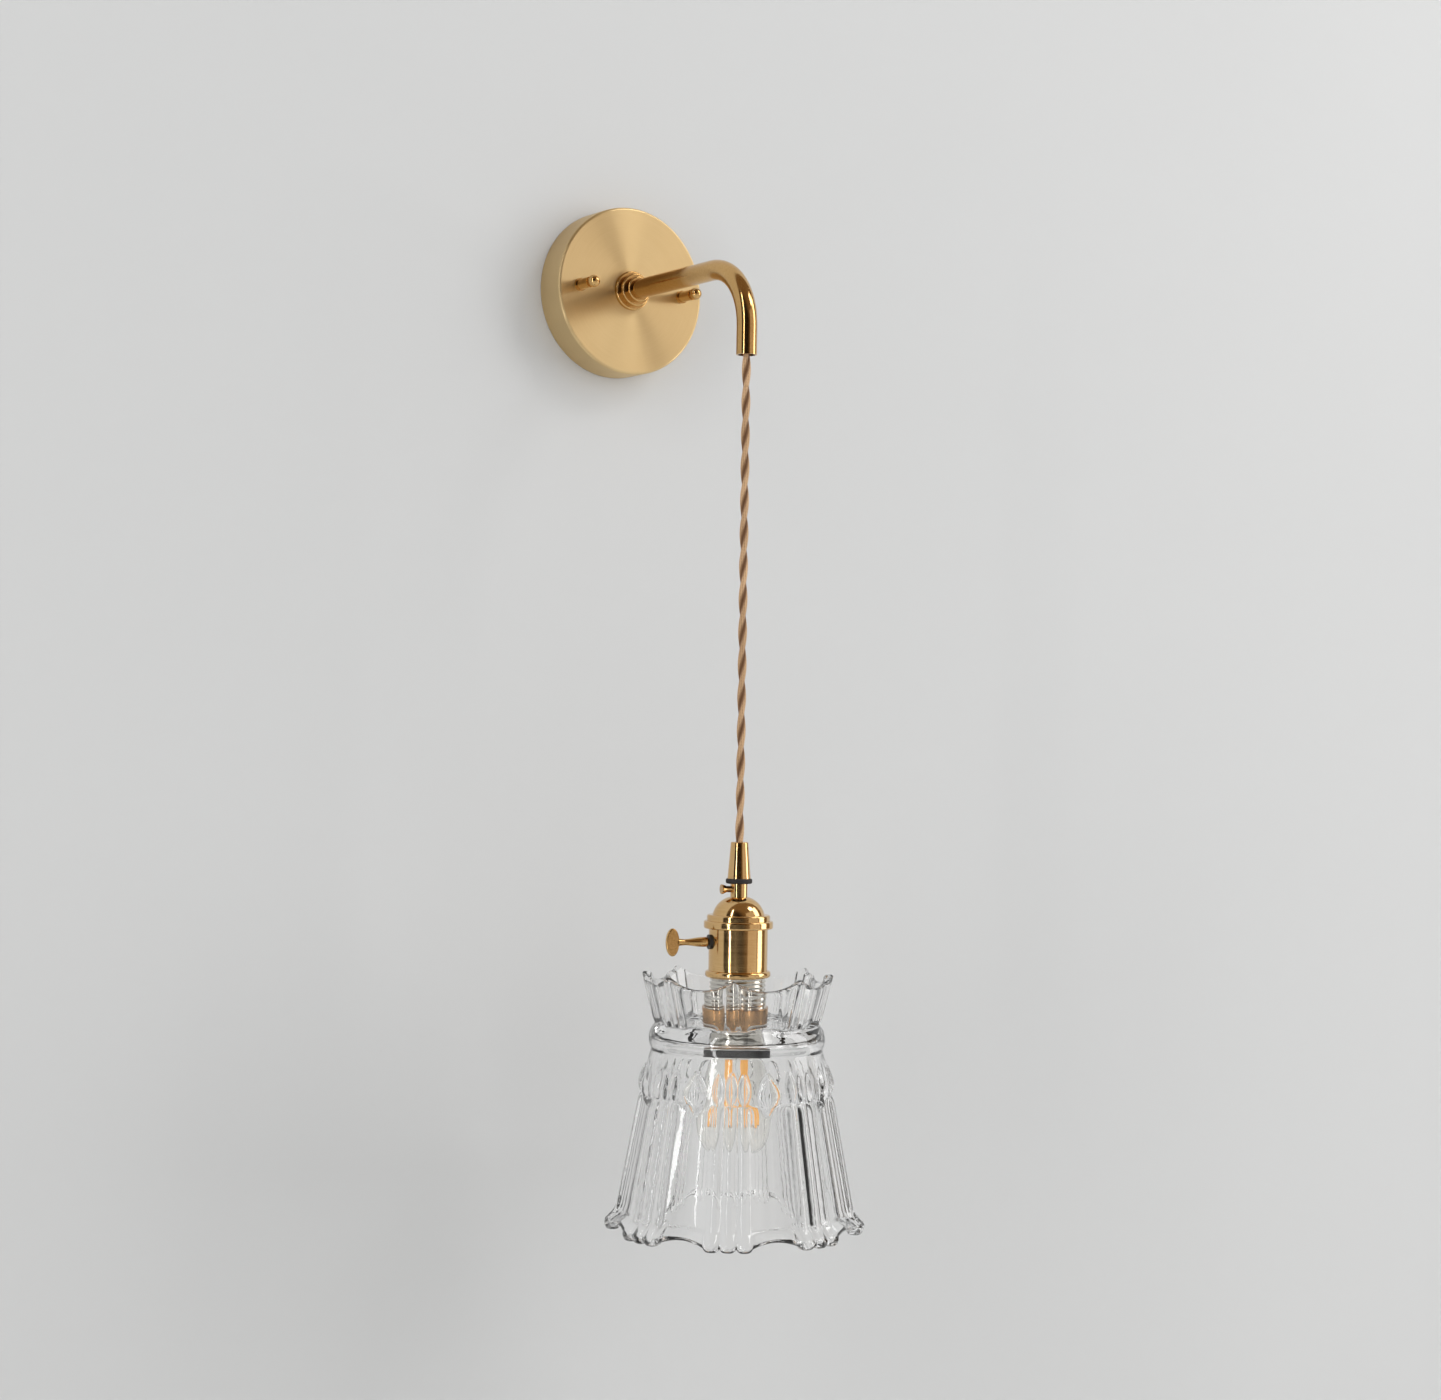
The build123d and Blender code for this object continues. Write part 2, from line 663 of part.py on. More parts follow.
def collar_ring():
    """Wide ring that joins the cap to the shell."""
    ring = pipe_z(collar_od, collar_bore, cap_base, collar_base)
    outer = ring.edges().filter_by(GeomType.CIRCLE).group_by(SortBy.RADIUS)[-1]
    return LAMP_AXIS * fillet(outer, COLLAR_EDGE_R)


def socket_shell():
    """Drawn shell with a rolled bead at its foot and a hole for the key's bush."""
    shell = pipe_z(shell_od, shell_id, cap_base + SHELL_LAP, bead_base)
    bead = pipe_z(bead_od, shell_id, shell_base, bead_base)
    outer = bead.edges().filter_by(GeomType.CIRCLE).group_by(SortBy.RADIUS)[-1]
    shell += fillet(outer, BEAD_EDGE_R)
    hole = bar_x(KEY_BUSH_BODY_D + 2 * FIT, 0, shell_od)
    return KEY_AXIS * (shell - Pos(0, 0, key_z) * hole)


def head_cord():
    """End of the cord inside the head, down to the insert."""
    return LAMP_AXIS * bar_z(CORD_D, grip_top - CORD_GRIP_DEPTH - SEAT, insert_top)


def rotor_end():
    """Station where the rotor's pocket ends."""
    return ROTOR_START + ROTOR_L + SEAT


def socket_insert():
    """Insulating core with a pocket for the switch rotor."""
    core = bar_z(insert_od, insert_top, insert_base)
    pocket = bar_x(ROTOR_D + 2 * SEAT, ROTOR_START - SEAT, rotor_end())
    pocket += bar_x(KEY_BUSH_BODY_D + 2 * SEAT, rotor_end(), insert_od)
    return KEY_AXIS * (core - Pos(0, 0, key_z) * pocket)


def key_bush():
    """Dark bush in the shell, hollowed to sit on its curve."""
    shell_r = shell_od / 2
    flange = bar_x(KEY_BUSH_D, shell_r - KEY_BUSH_FLANGE, shell_r + KEY_BUSH_FLANGE)
    flange -= Pos(0, 0, -key_z) * bar_z(shell_od + 2 * FIT, key_z + KEY_BUSH_D, key_z - KEY_BUSH_D)
    body = bar_x(KEY_BUSH_BODY_D, shell_r - KEY_BUSH_L, shell_r + KEY_BUSH_FLANGE)
    bush = flange + body - bar_x(KEY_STEM_D + 2 * FIT, 0, shell_od)
    return KEY_AXIS * Pos(0, 0, key_z) * bush


def switch_key():
    """Turned baluster stem with an oval paddle, running in its bush."""
    stem_r = KEY_STEM_D / 2
    bulb_r = KEY_BULB_D / 2
    waist_r = KEY_WAIST_D / 2
    start = ROTOR_START + ROTOR_L / 2
    face = shell_od / 2 + KEY_BUSH_FLANGE + SEAT
    swell = face + KEY_BULB_AT
    paddle = face + KEY_STEM_L
    waist = paddle - KEY_NECK_L
    flare = paddle + KEY_PADDLE_LAP
    nose = Spline((face, stem_r), (swell, bulb_r), tangents=[(0, 1), (1, 0)])
    taper = Spline((swell, bulb_r), (waist, waist_r), tangents=[(1, 0), (1, 0)])
    outline = Polyline((waist, waist_r), (flare, KEY_NECK_D / 2), (flare, 0), (start, 0),
                       (start, stem_r), (face, stem_r))
    stem = lathe_x(nose, taper, outline)
    oval = extrude(Plane.XZ * Ellipse(KEY_PADDLE_L / 2, KEY_PADDLE_H / 2), KEY_PADDLE_T / 2, both=True)
    oval = Pos(paddle + KEY_PADDLE_L / 2, 0, 0) * fillet(oval.edges(), KEY_PADDLE_EDGE_R)
    return KEY_AXIS * Pos(0, 0, key_z) * (stem + oval)


def switch_rotor():
    """Switch rotor on the key's inner end."""
    rotor = bar_x(ROTOR_D, ROTOR_START, ROTOR_START + ROTOR_L)
    rotor -= bar_x(KEY_STEM_D + 2 * FIT, ROTOR_START + ROTOR_L / 2, ROTOR_START + ROTOR_L)
    return KEY_AXIS * Pos(0, 0, key_z) * rotor


def shade_carrier():
    """Threaded tube inside the shell that carries the shade's two rings."""
    return LAMP_AXIS * pipe_z(carrier_od, carrier_id, insert_base, carrier_base)


def screw_shell():
    """Brass lamp thread hung under the insert."""
    cup = bar_z(screw_od, insert_base, insert_base - SCREW_H)
    cup -= bar_z(SCREW_BORE_D, insert_base - SCREW_WALL, insert_base - SCREW_H)
    return LAMP_AXIS * (cup - bar_z(SCREW_OPENING_D, insert_base, insert_base - SCREW_WALL))


def centre_contact():
    """Contact disc on its stem."""
    stem = bar_z(CONTACT_STEM_D, insert_base, contact_base)
    return LAMP_AXIS * (stem + bar_z(CONTACT_D, contact_base + CONTACT_T, contact_base))


# Shade and its clamp


def clamp_ring(outer, z_top, z_base):
    """Threaded ring with rounded outer edges."""
    ring = pipe_z(outer, carrier_thread, z_top, z_base)
    edges = ring.edges().filter_by(GeomType.CIRCLE).group_by(SortBy.RADIUS)[-1]
    return LAMP_AXIS * fillet(edges, RING_EDGE_R)


def shade_ring_upper():
    """Brass ring above the glass floor."""
    base = floor_top + GASKET_T
    return clamp_ring(upper_ring_od, base + UPPER_RING_H, base)


def gasket_upper():
    """Fibre washer between the brass ring and the glass."""
    return LAMP_AXIS * pipe_z(upper_ring_od, carrier_thread, floor_top + GASKET_T, floor_top)


def gasket_lower():
    """Fibre washer between the glass and the dark ring."""
    return LAMP_AXIS * pipe_z(lower_ring_od, carrier_thread, floor_base, lower_ring_top)


def shade_ring_lower():
    """Dark ring that holds the glass from below."""
    return clamp_ring(lower_ring_od, lower_ring_top, lower_ring_base)


def polar(radius, angle, z):
    """Point at a radius and a bearing in degrees."""
    return (radius * cos(radians(angle)), radius * sin(radians(angle)), z)


def bow(z, radius, start, width, rise):
    """Arc between two bearings on a radius, its middle raised or sunk."""
    return ThreePointArc(polar(radius, start, z), polar(radius + rise, start + width / 2, z),
                         polar(radius, start + width, z))


def fluted_outline(z, radius, rib, hollow):
    """Outline of the glass at one level: a group of ribs and a hollow panel per repeat."""
    repeat = 360 / REPEATS
    group = RIBS * RIB_ANGLE
    edges = []
    for number in range(REPEATS):
        start = PATTERN_TURN + number * repeat - group / 2
        for place in range(RIBS):
            edges.append(bow(z, radius, start + place * RIB_ANGLE, RIB_ANGLE, rib))
        edges.append(bow(z, radius, start + group, repeat - group, -hollow))
    return make_face(edges)


def across_cutter(angle, radius, z):
    """Round bar right across the shade at a bearing, to cut both of its sides."""
    return Rot(0, 0, angle) * Pos(0, 0, z) * bar_x(2 * radius, -2 * HEM_R, 2 * HEM_R)


def chord_radius(width, height):
    """Radius of an arc of a given width and height."""
    return (width * width / 4 + height * height) / (2 * height)


def shade_levels():
    """Heights of the glass from the waist bead down to the tail of the hem."""
    bead_top = floor_top + WAIST_RISE
    neck = bead_top - WAIST_BEAD_H
    shoulder = neck - SHOULDER_H
    foot = shoulder - SHOULDER_FOOT_H
    skirt = foot - SKIRT_H
    hem = skirt - HEM_H
    return bead_top, neck, shoulder, foot, skirt, hem, hem - HEM_TAIL_H


def glass_waist():
    """Turned middle of the glass: the waist bead and the bulging shoulder."""
    bead_top, neck, shoulder, foot, _, _, _ = shade_levels()
    bead = ThreePointArc((COLLAR_WAIST_R + COLLAR_RIB, bead_top), (WAIST_BEAD_R, (bead_top + neck) / 2),
                         (WAIST_NECK_R, neck))
    middle = ((WAIST_NECK_R + SHOULDER_R) / 2 + SHOULDER_BULGE, (neck + shoulder) / 2 + SHOULDER_BULGE)
    swell = ThreePointArc((WAIST_NECK_R, neck), middle, (SHOULDER_R, shoulder))
    rest = Polyline((SHOULDER_R, shoulder), (SHOULDER_FOOT_R, foot), (0, foot), (0, bead_top),
                    (COLLAR_WAIST_R + COLLAR_RIB, bead_top))
    return lathe_z(bead, swell, rest)


def spindle(length, radius, sink, rise, lean):
    """Pointed spindle along the shoulder at bearing 0, sunk in the glass and leaning inwards at its top."""
    _, _, shoulder, _, _, _, _ = shade_levels()
    half = length / 2
    form = lathe_x(ThreePointArc((-half, 0), (0, radius), (half, 0)), Line((half, 0), (-half, 0)))
    return Pos(SHOULDER_R - sink, 0, shoulder + rise) * Rot(0, 90 - lean, 0) * form


def glass_lozenges():
    """Raised lozenges round the shoulder: an almond over each panel and a petal over each rib."""
    repeat = 360 / REPEATS
    slope = degrees(atan2(SHOULDER_R - WAIST_NECK_R, SHOULDER_H))
    almond = spindle(ALMOND_L, ALMOND_R, ALMOND_SINK, 0, 0)
    petal = spindle(PETAL_L, PETAL_R, PETAL_SINK, PETAL_RISE, slope / 2)
    forms = []
    for number in range(REPEATS):
        middle = PATTERN_TURN + number * repeat
        forms.append(Rot(0, 0, middle + repeat / 2) * almond)
        for place in range(RIBS):
            forms.append(Rot(0, 0, middle + (place - (RIBS - 1) / 2) * RIB_ANGLE) * petal)
    return forms


def glass_outside():
    """Fluted collar, turned waist, lozenges and fluted skirt as one form."""
    _, _, shoulder, _, skirt, hem, tail = shade_levels()
    collar = loft([fluted_outline(floor_top + RIM_RISE, RIM_R, COLLAR_RIB, COLLAR_HOLLOW),
                   fluted_outline(floor_top, COLLAR_WAIST_R, COLLAR_RIB, COLLAR_HOLLOW)], ruled=True)
    top = shoulder - SHOULDER_FOOT_H / 2
    skirt_form = loft([fluted_outline(top, SHOULDER_FOOT_R - SKIRT_RIB, SKIRT_RIB, SKIRT_HOLLOW),
                       fluted_outline(skirt, SKIRT_R, SKIRT_RIB, SKIRT_HOLLOW),
                       fluted_outline(hem, HEM_R, SKIRT_RIB, SKIRT_HOLLOW),
                       fluted_outline(tail, HEM_TAIL_R, SKIRT_RIB, SKIRT_HOLLOW)], ruled=True)
    return glass_waist() + [collar, skirt_form] + glass_lozenges()


def glass_inside():
    """Upper cup and lower bell of the shade, and the hole through its floor."""
    _, neck, shoulder, _, skirt, _, tail = shade_levels()
    rim = floor_top + RIM_RISE
    cup = lathe_outline_z((0, rim), (RIM_R - COLLAR_GLASS_T, rim),
                          (COLLAR_WAIST_R - COLLAR_GLASS_T, floor_top), (0, floor_top))
    wall = SKIRT_GLASS_T + SKIRT_HOLLOW
    bell = lathe_outline_z((0, floor_base), (WAIST_NECK_R - wall, floor_base), (WAIST_NECK_R - wall, neck),
                           (SHOULDER_R - wall, shoulder), (SKIRT_R - wall, skirt),
                           (HEM_TAIL_R - SKIRT_GLASS_T, tail), (0, tail))
    return [cup, bell, bar_z(glass_hole, floor_top, floor_base)]


def glass_edge_cuts():
    """Sagging rim between the collar's points, arches and notches along the hem."""
    *_, tail = shade_levels()
    repeat = 360 / REPEATS
    group = RIBS * RIB_ANGLE
    panel_chord = 2 * HEM_R * sin(radians((repeat - group) / 2))
    rim_chord = 2 * RIM_R * sin(radians(repeat / 2))
    sag_r = chord_radius(rim_chord, RIM_SAG)
    arch_r = chord_radius(panel_chord, HEM_ARCH)
    cuts = []
    for number in range(REPEATS // 2):
        rib_middle = PATTERN_TURN + number * repeat
        panel_middle = rib_middle + repeat / 2
        cuts.append(across_cutter(panel_middle, sag_r, floor_top + RIM_RISE - RIM_SAG + sag_r))
        cuts.append(across_cutter(panel_middle, arch_r, tail + HEM_ARCH - arch_r))
        for place in range(1, RIBS):
            edge = rib_middle - group / 2 + place * RIB_ANGLE
            cuts.append(across_cutter(edge, HEM_NOTCH_R, tail))
    return cuts


def glass_shade():
    """Pressed-glass shade: scalloped collar, waist bead, lozenges, fluted skirt, toothed hem."""
    glass = glass_outside()
    for hollow in glass_inside() + glass_edge_cuts():
        glass -= hollow
    return LAMP_AXIS * glass


# Filament lamp


def bulb_cap():
    """Thin brass cap of the lamp, open below and coned above."""
    outer_r = LAMP_CAP_D / 2
    inner_r = outer_r - LAMP_CAP_WALL
    neck_r = LAMP_INSULATOR_D / 2
    shoulder = lamp_insulator_base - LAMP_CONE_H
    return LAMP_AXIS * lathe_outline_z(
        (neck_r - LAMP_CAP_WALL, lamp_insulator_base), (neck_r, lamp_insulator_base), (outer_r, shoulder),
        (outer_r, lamp_cap_base), (inner_r, lamp_cap_base), (inner_r, shoulder - LAMP_CAP_WALL),
        (neck_r - LAMP_CAP_WALL, lamp_insulator_base - LAMP_CAP_WALL))


def bulb_insulator():
    """Dark insulating cone on the lamp's cap."""
    return LAMP_AXIS * lathe_outline_z(
        (0, lamp_contact_base), (LAMP_CONTACT_D / 2, lamp_contact_base),
        (LAMP_INSULATOR_D / 2, lamp_insulator_base), (0, lamp_insulator_base))


def bulb_contact():
    """End contact of the lamp."""
    return LAMP_AXIS * bar_z(LAMP_CONTACT_D, contact_base, lamp_contact_base)


def globe_form(wall):
    """Neck, shoulder and globe of the lamp's glass, drawn in by a wall thickness."""
    top = lamp_cap_base + LAMP_NECK_LAP
    sleeve_r = LAMP_CAP_D / 2 - LAMP_CAP_WALL - SEAT - wall
    neck_r = LAMP_NECK_R - wall
    globe_r = LAMP_GLOBE_R - wall
    centre = globe_tip + LAMP_GLOBE_R
    neck_end = carrier_base
    reach = ((neck_end - centre) ** 2 + neck_r ** 2) ** 0.5
    tangent = atan2(neck_r, neck_end - centre) + acos(globe_r / reach)
    touch = (globe_r * sin(tangent), centre + globe_r * cos(tangent))
    side = (tangent + radians(180)) / 2
    globe = ThreePointArc(touch, (globe_r * sin(side), centre + globe_r * cos(side)), (0, centre - globe_r))
    rest = Polyline((0, centre - globe_r), (0, top), (sleeve_r, top), (sleeve_r, lamp_cap_base),
                    (neck_r, neck_end), touch)
    return lathe_z(globe, rest)


def bulb_envelope():
    """Clear glass of the lamp, open at its neck."""
    return LAMP_AXIS * (globe_form(0) - globe_form(LAMP_GLASS_T))


def bulb_stem():
    """Glass mount that flares out to the neck of the envelope."""
    flare_top = lamp_cap_base + LAMP_NECK_LAP
    flare_r = LAMP_CAP_D / 2 - LAMP_CAP_WALL - 2 * SEAT - LAMP_GLASS_T
    waist = flare_top - STEM_FLARE_H
    flare = ThreePointArc((flare_r, flare_top), ((flare_r + 3 * STEM_R) / 4, (flare_top + waist) / 2),
                          (STEM_R, waist))
    rest = Polyline((STEM_R, waist), (STEM_R, stem_tip), (0, stem_tip), (0, flare_top), (flare_r, flare_top))
    return LAMP_AXIS * lathe_z(flare, rest)


def filament_place(number):
    """Place of one filament round the stem."""
    return LAMP_AXIS * Rot(0, 0, number * 360 / FILAMENTS) * Pos(FILAMENT_CIRCLE_D / 2, 0, 0)


def bulb_filaments():
    """Upright filament sticks."""
    top = stem_tip - FILAMENT_LEAD
    stick = bar_z(FILAMENT_D, top, top - FILAMENT_L)
    return Compound(children=[filament_place(number) * stick for number in range(FILAMENTS)])


def filament_wires():
    """Leads from the stem to the filaments, and the star that joins their feet."""
    top = stem_tip - FILAMENT_LEAD
    foot = top - FILAMENT_L
    hub_d = 2 * FILAMENT_WIRE_D
    leads = bar_z(hub_d, stem_tip, top)
    star = bar_z(hub_d, foot, foot - hub_d)
    spoke = bar_x(FILAMENT_WIRE_D, 0, (FILAMENT_CIRCLE_D + FILAMENT_D) / 2)
    for number in range(FILAMENTS):
        bearing = Rot(0, 0, number * 360 / FILAMENTS)
        leads += bearing * Pos(0, 0, top + FILAMENT_WIRE_D) * spoke
        star += bearing * Pos(0, 0, foot - FILAMENT_WIRE_D) * spoke
    return Compound(children=[LAMP_AXIS * leads, LAMP_AXIS * star])


PIECES = (
    wall_bracket, bracket_studs, stud_nuts, canopy_cover, cap_nuts,
    arm_collar, arm_nipple, arm_washer, arm_lock_nut, arm_tube, mouth_bush, cord_gland, arm_cord,
    feed_wires, terminal_block, terminal_screws, block_screw,
    cord_upper, cord_main,
    cord_grip, grip_ring, cap_bushing, set_screw, socket_cap, collar_ring, socket_shell, head_cord,
    socket_insert, key_bush, switch_key, switch_rotor, shade_carrier, screw_shell, centre_contact,
    shade_ring_upper, gasket_upper, gasket_lower, shade_ring_lower, glass_shade,
    bulb_cap, bulb_insulator, bulb_contact, bulb_envelope, bulb_stem, bulb_filaments, filament_wires,
)

os.makedirs("parts", exist_ok=True)
for piece in PIECES:
    export_step(piece(), f"parts/{piece.__name__}.step")
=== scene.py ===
"""Glass wall lamp, dressed for its photograph.

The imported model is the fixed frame. This script gives its metal, plastic and rubber
their finishes, and models the twisted cord, the pressed-glass shade and the threaded
shade carrier. Metres, +Z up; the wall is the plane Y = 0 and the lamp hangs at -Y.
"""

import json
import logging
import math
from collections.abc import Mapping, Sequence
from dataclasses import dataclass, field
from enum import Enum
from typing import Protocol

import bmesh
import bpy
from mathutils import Matrix, Vector

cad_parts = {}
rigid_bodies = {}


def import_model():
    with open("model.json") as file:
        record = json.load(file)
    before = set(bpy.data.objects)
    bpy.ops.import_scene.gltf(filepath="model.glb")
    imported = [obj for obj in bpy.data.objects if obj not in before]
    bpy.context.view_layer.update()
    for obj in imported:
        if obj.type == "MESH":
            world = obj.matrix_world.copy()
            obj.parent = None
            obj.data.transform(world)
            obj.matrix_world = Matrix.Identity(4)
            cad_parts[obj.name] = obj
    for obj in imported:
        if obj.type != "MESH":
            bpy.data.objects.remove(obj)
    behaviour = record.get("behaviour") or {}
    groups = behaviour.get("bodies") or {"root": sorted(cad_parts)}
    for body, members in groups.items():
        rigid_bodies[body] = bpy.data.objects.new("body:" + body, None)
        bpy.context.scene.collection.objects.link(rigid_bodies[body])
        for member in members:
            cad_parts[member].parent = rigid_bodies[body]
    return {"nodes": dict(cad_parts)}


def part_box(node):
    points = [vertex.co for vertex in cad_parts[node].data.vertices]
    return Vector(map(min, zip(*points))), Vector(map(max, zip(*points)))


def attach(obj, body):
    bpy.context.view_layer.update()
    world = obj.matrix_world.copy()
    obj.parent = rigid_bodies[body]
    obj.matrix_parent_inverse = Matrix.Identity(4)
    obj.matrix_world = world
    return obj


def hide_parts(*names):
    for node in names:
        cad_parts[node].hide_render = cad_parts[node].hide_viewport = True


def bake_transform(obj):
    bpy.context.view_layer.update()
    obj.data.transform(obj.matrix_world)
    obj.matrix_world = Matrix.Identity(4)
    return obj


LOG = logging.getLogger("glass_wall_lamp")
PHOTO_WIDTH = 1441

Colour = tuple[float, float, float]
Point = tuple[float, float, float]
Nodes = Mapping[str, bpy.types.Object]


class Grain(Enum):
    """Which way the lay of a metal finish runs; a turned lay names its axis."""

    EVEN = "EVEN"
    TURNED_ON_WALL = "Y"
    TURNED_ON_CORD = "Z"


class Side(Enum):
    """The two faces of the glass wall."""

    INNER = 0
    OUTER = 1


class NodeSheet:
    """One material's nodes, with short calls that add and join them."""

    def __init__(self, name: str) -> None:
        """Start a material with a Principled shader joined to its output.

        Args:
            name: The material's name.
        """
        self.material = bpy.data.materials.new(name)
        self.material.use_nodes = True
        self.tree = self.material.node_tree
        self.tree.nodes.clear()
        self.shader = self.add("ShaderNodeBsdfPrincipled")
        self.output = self.add("ShaderNodeOutputMaterial")
        self.join(self.shader.outputs["BSDF"], self.output.inputs["Surface"])

    def add(self, kind: str, **settings: object) -> bpy.types.Node:
        """Add a node.

        Args:
            kind: Blender's identifier of the node.
            **settings: Properties set on it.

        Returns:
            The new node.
        """
        node = self.tree.nodes.new(kind)
        for key, value in settings.items():
            setattr(node, key, value)
        return node

    def join(self, source: bpy.types.NodeSocket, target: bpy.types.NodeSocket) -> None:
        """Link one socket to another."""
        self.tree.links.new(source, target)

    def feed(self, socket: bpy.types.NodeSocket, value: bpy.types.NodeSocket | float) -> None:
        """Give a socket a link or a plain number.

        Args:
            socket: The input to fill.
            value: Another node's output, or a number.
        """
        if isinstance(value, (int, float)):
            socket.default_value = value
        else:
            self.join(value, socket)

    def shade(self, **values: object) -> None:
        """Set constants on the shader's own sockets, named with _ for spaces."""
        for key, value in values.items():
            self.shader.inputs[key.replace("_", " ")].default_value = value

    def place(self, centre: Point) -> bpy.types.NodeSocket:
        """Object coordinates measured from a point.

        Args:
            centre: The point that becomes the origin.

        Returns:
            The shifted coordinates.
        """
        coordinates = self.add("ShaderNodeTexCoord")
        mapping = self.add("ShaderNodeMapping")
        mapping.inputs["Location"].default_value = [-c for c in centre]
        self.join(coordinates.outputs["Object"], mapping.inputs["Vector"])
        return mapping.outputs["Vector"]

    def noise(
        self, spot: bpy.types.NodeSocket, scale: float, detail: float = 3.0
    ) -> bpy.types.NodeSocket:
        """Noise between 0 and 1.

        Args:
            spot: The coordinates it reads.
            scale: Features per metre.
            detail: Octaves.

        Returns:
            The noise value.
        """
        node = self.add("ShaderNodeTexNoise")
        node.inputs["Scale"].default_value = scale
        node.inputs["Detail"].default_value = detail
        self.join(spot, node.inputs["Vector"])
        return node.outputs["Fac"]

    def sum(
        self,
        operation: str,
        first: bpy.types.NodeSocket | float,
        second: bpy.types.NodeSocket | float = 0.0,
    ) -> bpy.types.NodeSocket:
        """Arithmetic on varying values.

        Args:
            operation: Blender's name of the operation.
            first: The first value.
            second: The second value.

        Returns:
            The result.
        """
        node = self.add("ShaderNodeMath", operation=operation)
        self.feed(node.inputs[0], first)
        self.feed(node.inputs[1], second)
        return node.outputs["Value"]

    def spread(
        self, value: bpy.types.NodeSocket, limits: tuple[float, float], low: float, high: float
    ) -> bpy.types.NodeSocket:
        """Stretch a value from one range to another, clamped.

        Args:
            value: The varying value.
            limits: The range it comes in.
            low: What the lower limit becomes.
            high: What the upper limit becomes.

        Returns:
            The stretched value.
        """
        node = self.add("ShaderNodeMapRange")
        for key, number in zip(("From Min", "From Max", "To Min", "To Max"), (*limits, low, high)):
            node.inputs[key].default_value = number
        self.join(value, node.inputs["Value"])
        return node.outputs["Result"]

    def tint(
        self, share: bpy.types.NodeSocket, deep: Colour, pale: Colour
    ) -> bpy.types.NodeSocket:
        """Two colours mixed by a varying share.

        Args:
            share: 0 for deep, 1 for pale.
            deep: The darker colour.
            pale: The lighter colour.

        Returns:
            The mixed colour.
        """
        node = self.add("ShaderNodeMix", data_type="RGBA")
        node.inputs["A"].default_value = (*deep, 1.0)
        node.inputs["B"].default_value = (*pale, 1.0)
        self.join(share, node.inputs["Factor"])
        return node.outputs["Result"]

    def rings(
        self, spot: bpy.types.NodeSocket, grain: Grain, pitch: float
    ) -> bpy.types.NodeSocket:
        """Coordinates whose noise runs in rings round an axis, with no seam.

        Args:
            spot: Coordinates measured from the axis.
            grain: The turned lay that names the axis.
            pitch: Width of a ring.

        Returns:
            The ring coordinates.
        """
        flat = self.add("ShaderNodeVectorMath", operation="MULTIPLY")
        flat.inputs[1].default_value = (1, 0, 1) if grain is Grain.TURNED_ON_WALL else (1, 1, 0)
        self.join(spot, flat.inputs[0])
        length = self.add("ShaderNodeVectorMath", operation="LENGTH")
        self.join(flat.outputs["Vector"], length.inputs[0])
        split = self.add("ShaderNodeSeparateXYZ")
        self.join(spot, split.inputs["Vector"])
        along = self.sum("ADD", length.outputs["Value"], split.outputs[grain.value])
        heading = self.add("ShaderNodeVectorMath", operation="NORMALIZE")
        self.join(flat.outputs["Vector"], heading.inputs[0])
        step = self.add("ShaderNodeCombineXYZ")
        self.join(self.sum("MULTIPLY", along, 1.0 / pitch), step.inputs[grain.value])
        whole = self.add("ShaderNodeVectorMath", operation="ADD")
        self.join(heading.outputs["Vector"], whole.inputs[0])
        self.join(step.outputs["Vector"], whole.inputs[1])
        return whole.outputs["Vector"]

    def bump(self, height: bpy.types.NodeSocket, strength: float, depth: float) -> None:
        """Raise the surface by a height.

        Args:
            height: The varying height, 0 to 1.
            strength: How much of it shows.
            depth: Its real depth in metres.
        """
        node = self.add("ShaderNodeBump")
        node.inputs["Strength"].default_value = strength
        node.inputs["Distance"].default_value = depth
        self.join(height, node.inputs["Height"])
        self.join(node.outputs["Normal"], self.shader.inputs["Normal"])


class Finish(Protocol):
    """A surface finish that can make its material."""

    def material(self) -> bpy.types.Material:
        """The finish as a node material."""


@dataclass(frozen=True)
class MetalFinish:
    """Bare or lacquered metal with an even or a turned lay."""

    name: str
    pale: Colour
    deep: Colour
    roughness: tuple[float, float]
    grain: Grain = Grain.EVEN
    centre: Point = (0.0, 0.0, 0.0)
    lay_pitch: float = 0.0006
    anisotropy: float = 0.0
    groove: float = 0.000006
    clouding: float = 0.5

    def material(self) -> bpy.types.Material:
        """Build the metal.

        Returns:
            The material, with lay lines in its colour, roughness and bump.
        """
        sheet = NodeSheet(self.name)
        spot = sheet.place(self.centre)
        if self.grain is Grain.EVEN:
            lines = sheet.noise(spot, 1.0 / self.lay_pitch, 4.0)
        else:
            lines = sheet.noise(sheet.rings(spot, self.grain, self.lay_pitch), 1.0, 3.0)
            tangent = sheet.add("ShaderNodeTangent", direction_type="RADIAL", axis=self.grain.value)
            sheet.join(tangent.outputs["Tangent"], sheet.shader.inputs["Tangent"])
            sheet.shade(Anisotropic=self.anisotropy, Anisotropic_Rotation=0.25)
        cloud = sheet.noise(spot, 45.0, 3.0)
        share = sheet.sum(
            "ADD",
            sheet.sum("MULTIPLY", lines, 1.0 - self.clouding),
            sheet.sum("MULTIPLY", cloud, self.clouding),
        )
        sheet.join(
            sheet.tint(sheet.spread(share, (0.36, 0.64), 0.0, 1.0), self.deep, self.pale),
            sheet.shader.inputs["Base Color"],
        )
        sheet.join(
            sheet.spread(share, (0.35, 0.65), *self.roughness), sheet.shader.inputs["Roughness"]
        )
        sheet.shade(Metallic=1.0)
        sheet.bump(lines, 0.35, self.groove)
        return sheet.material


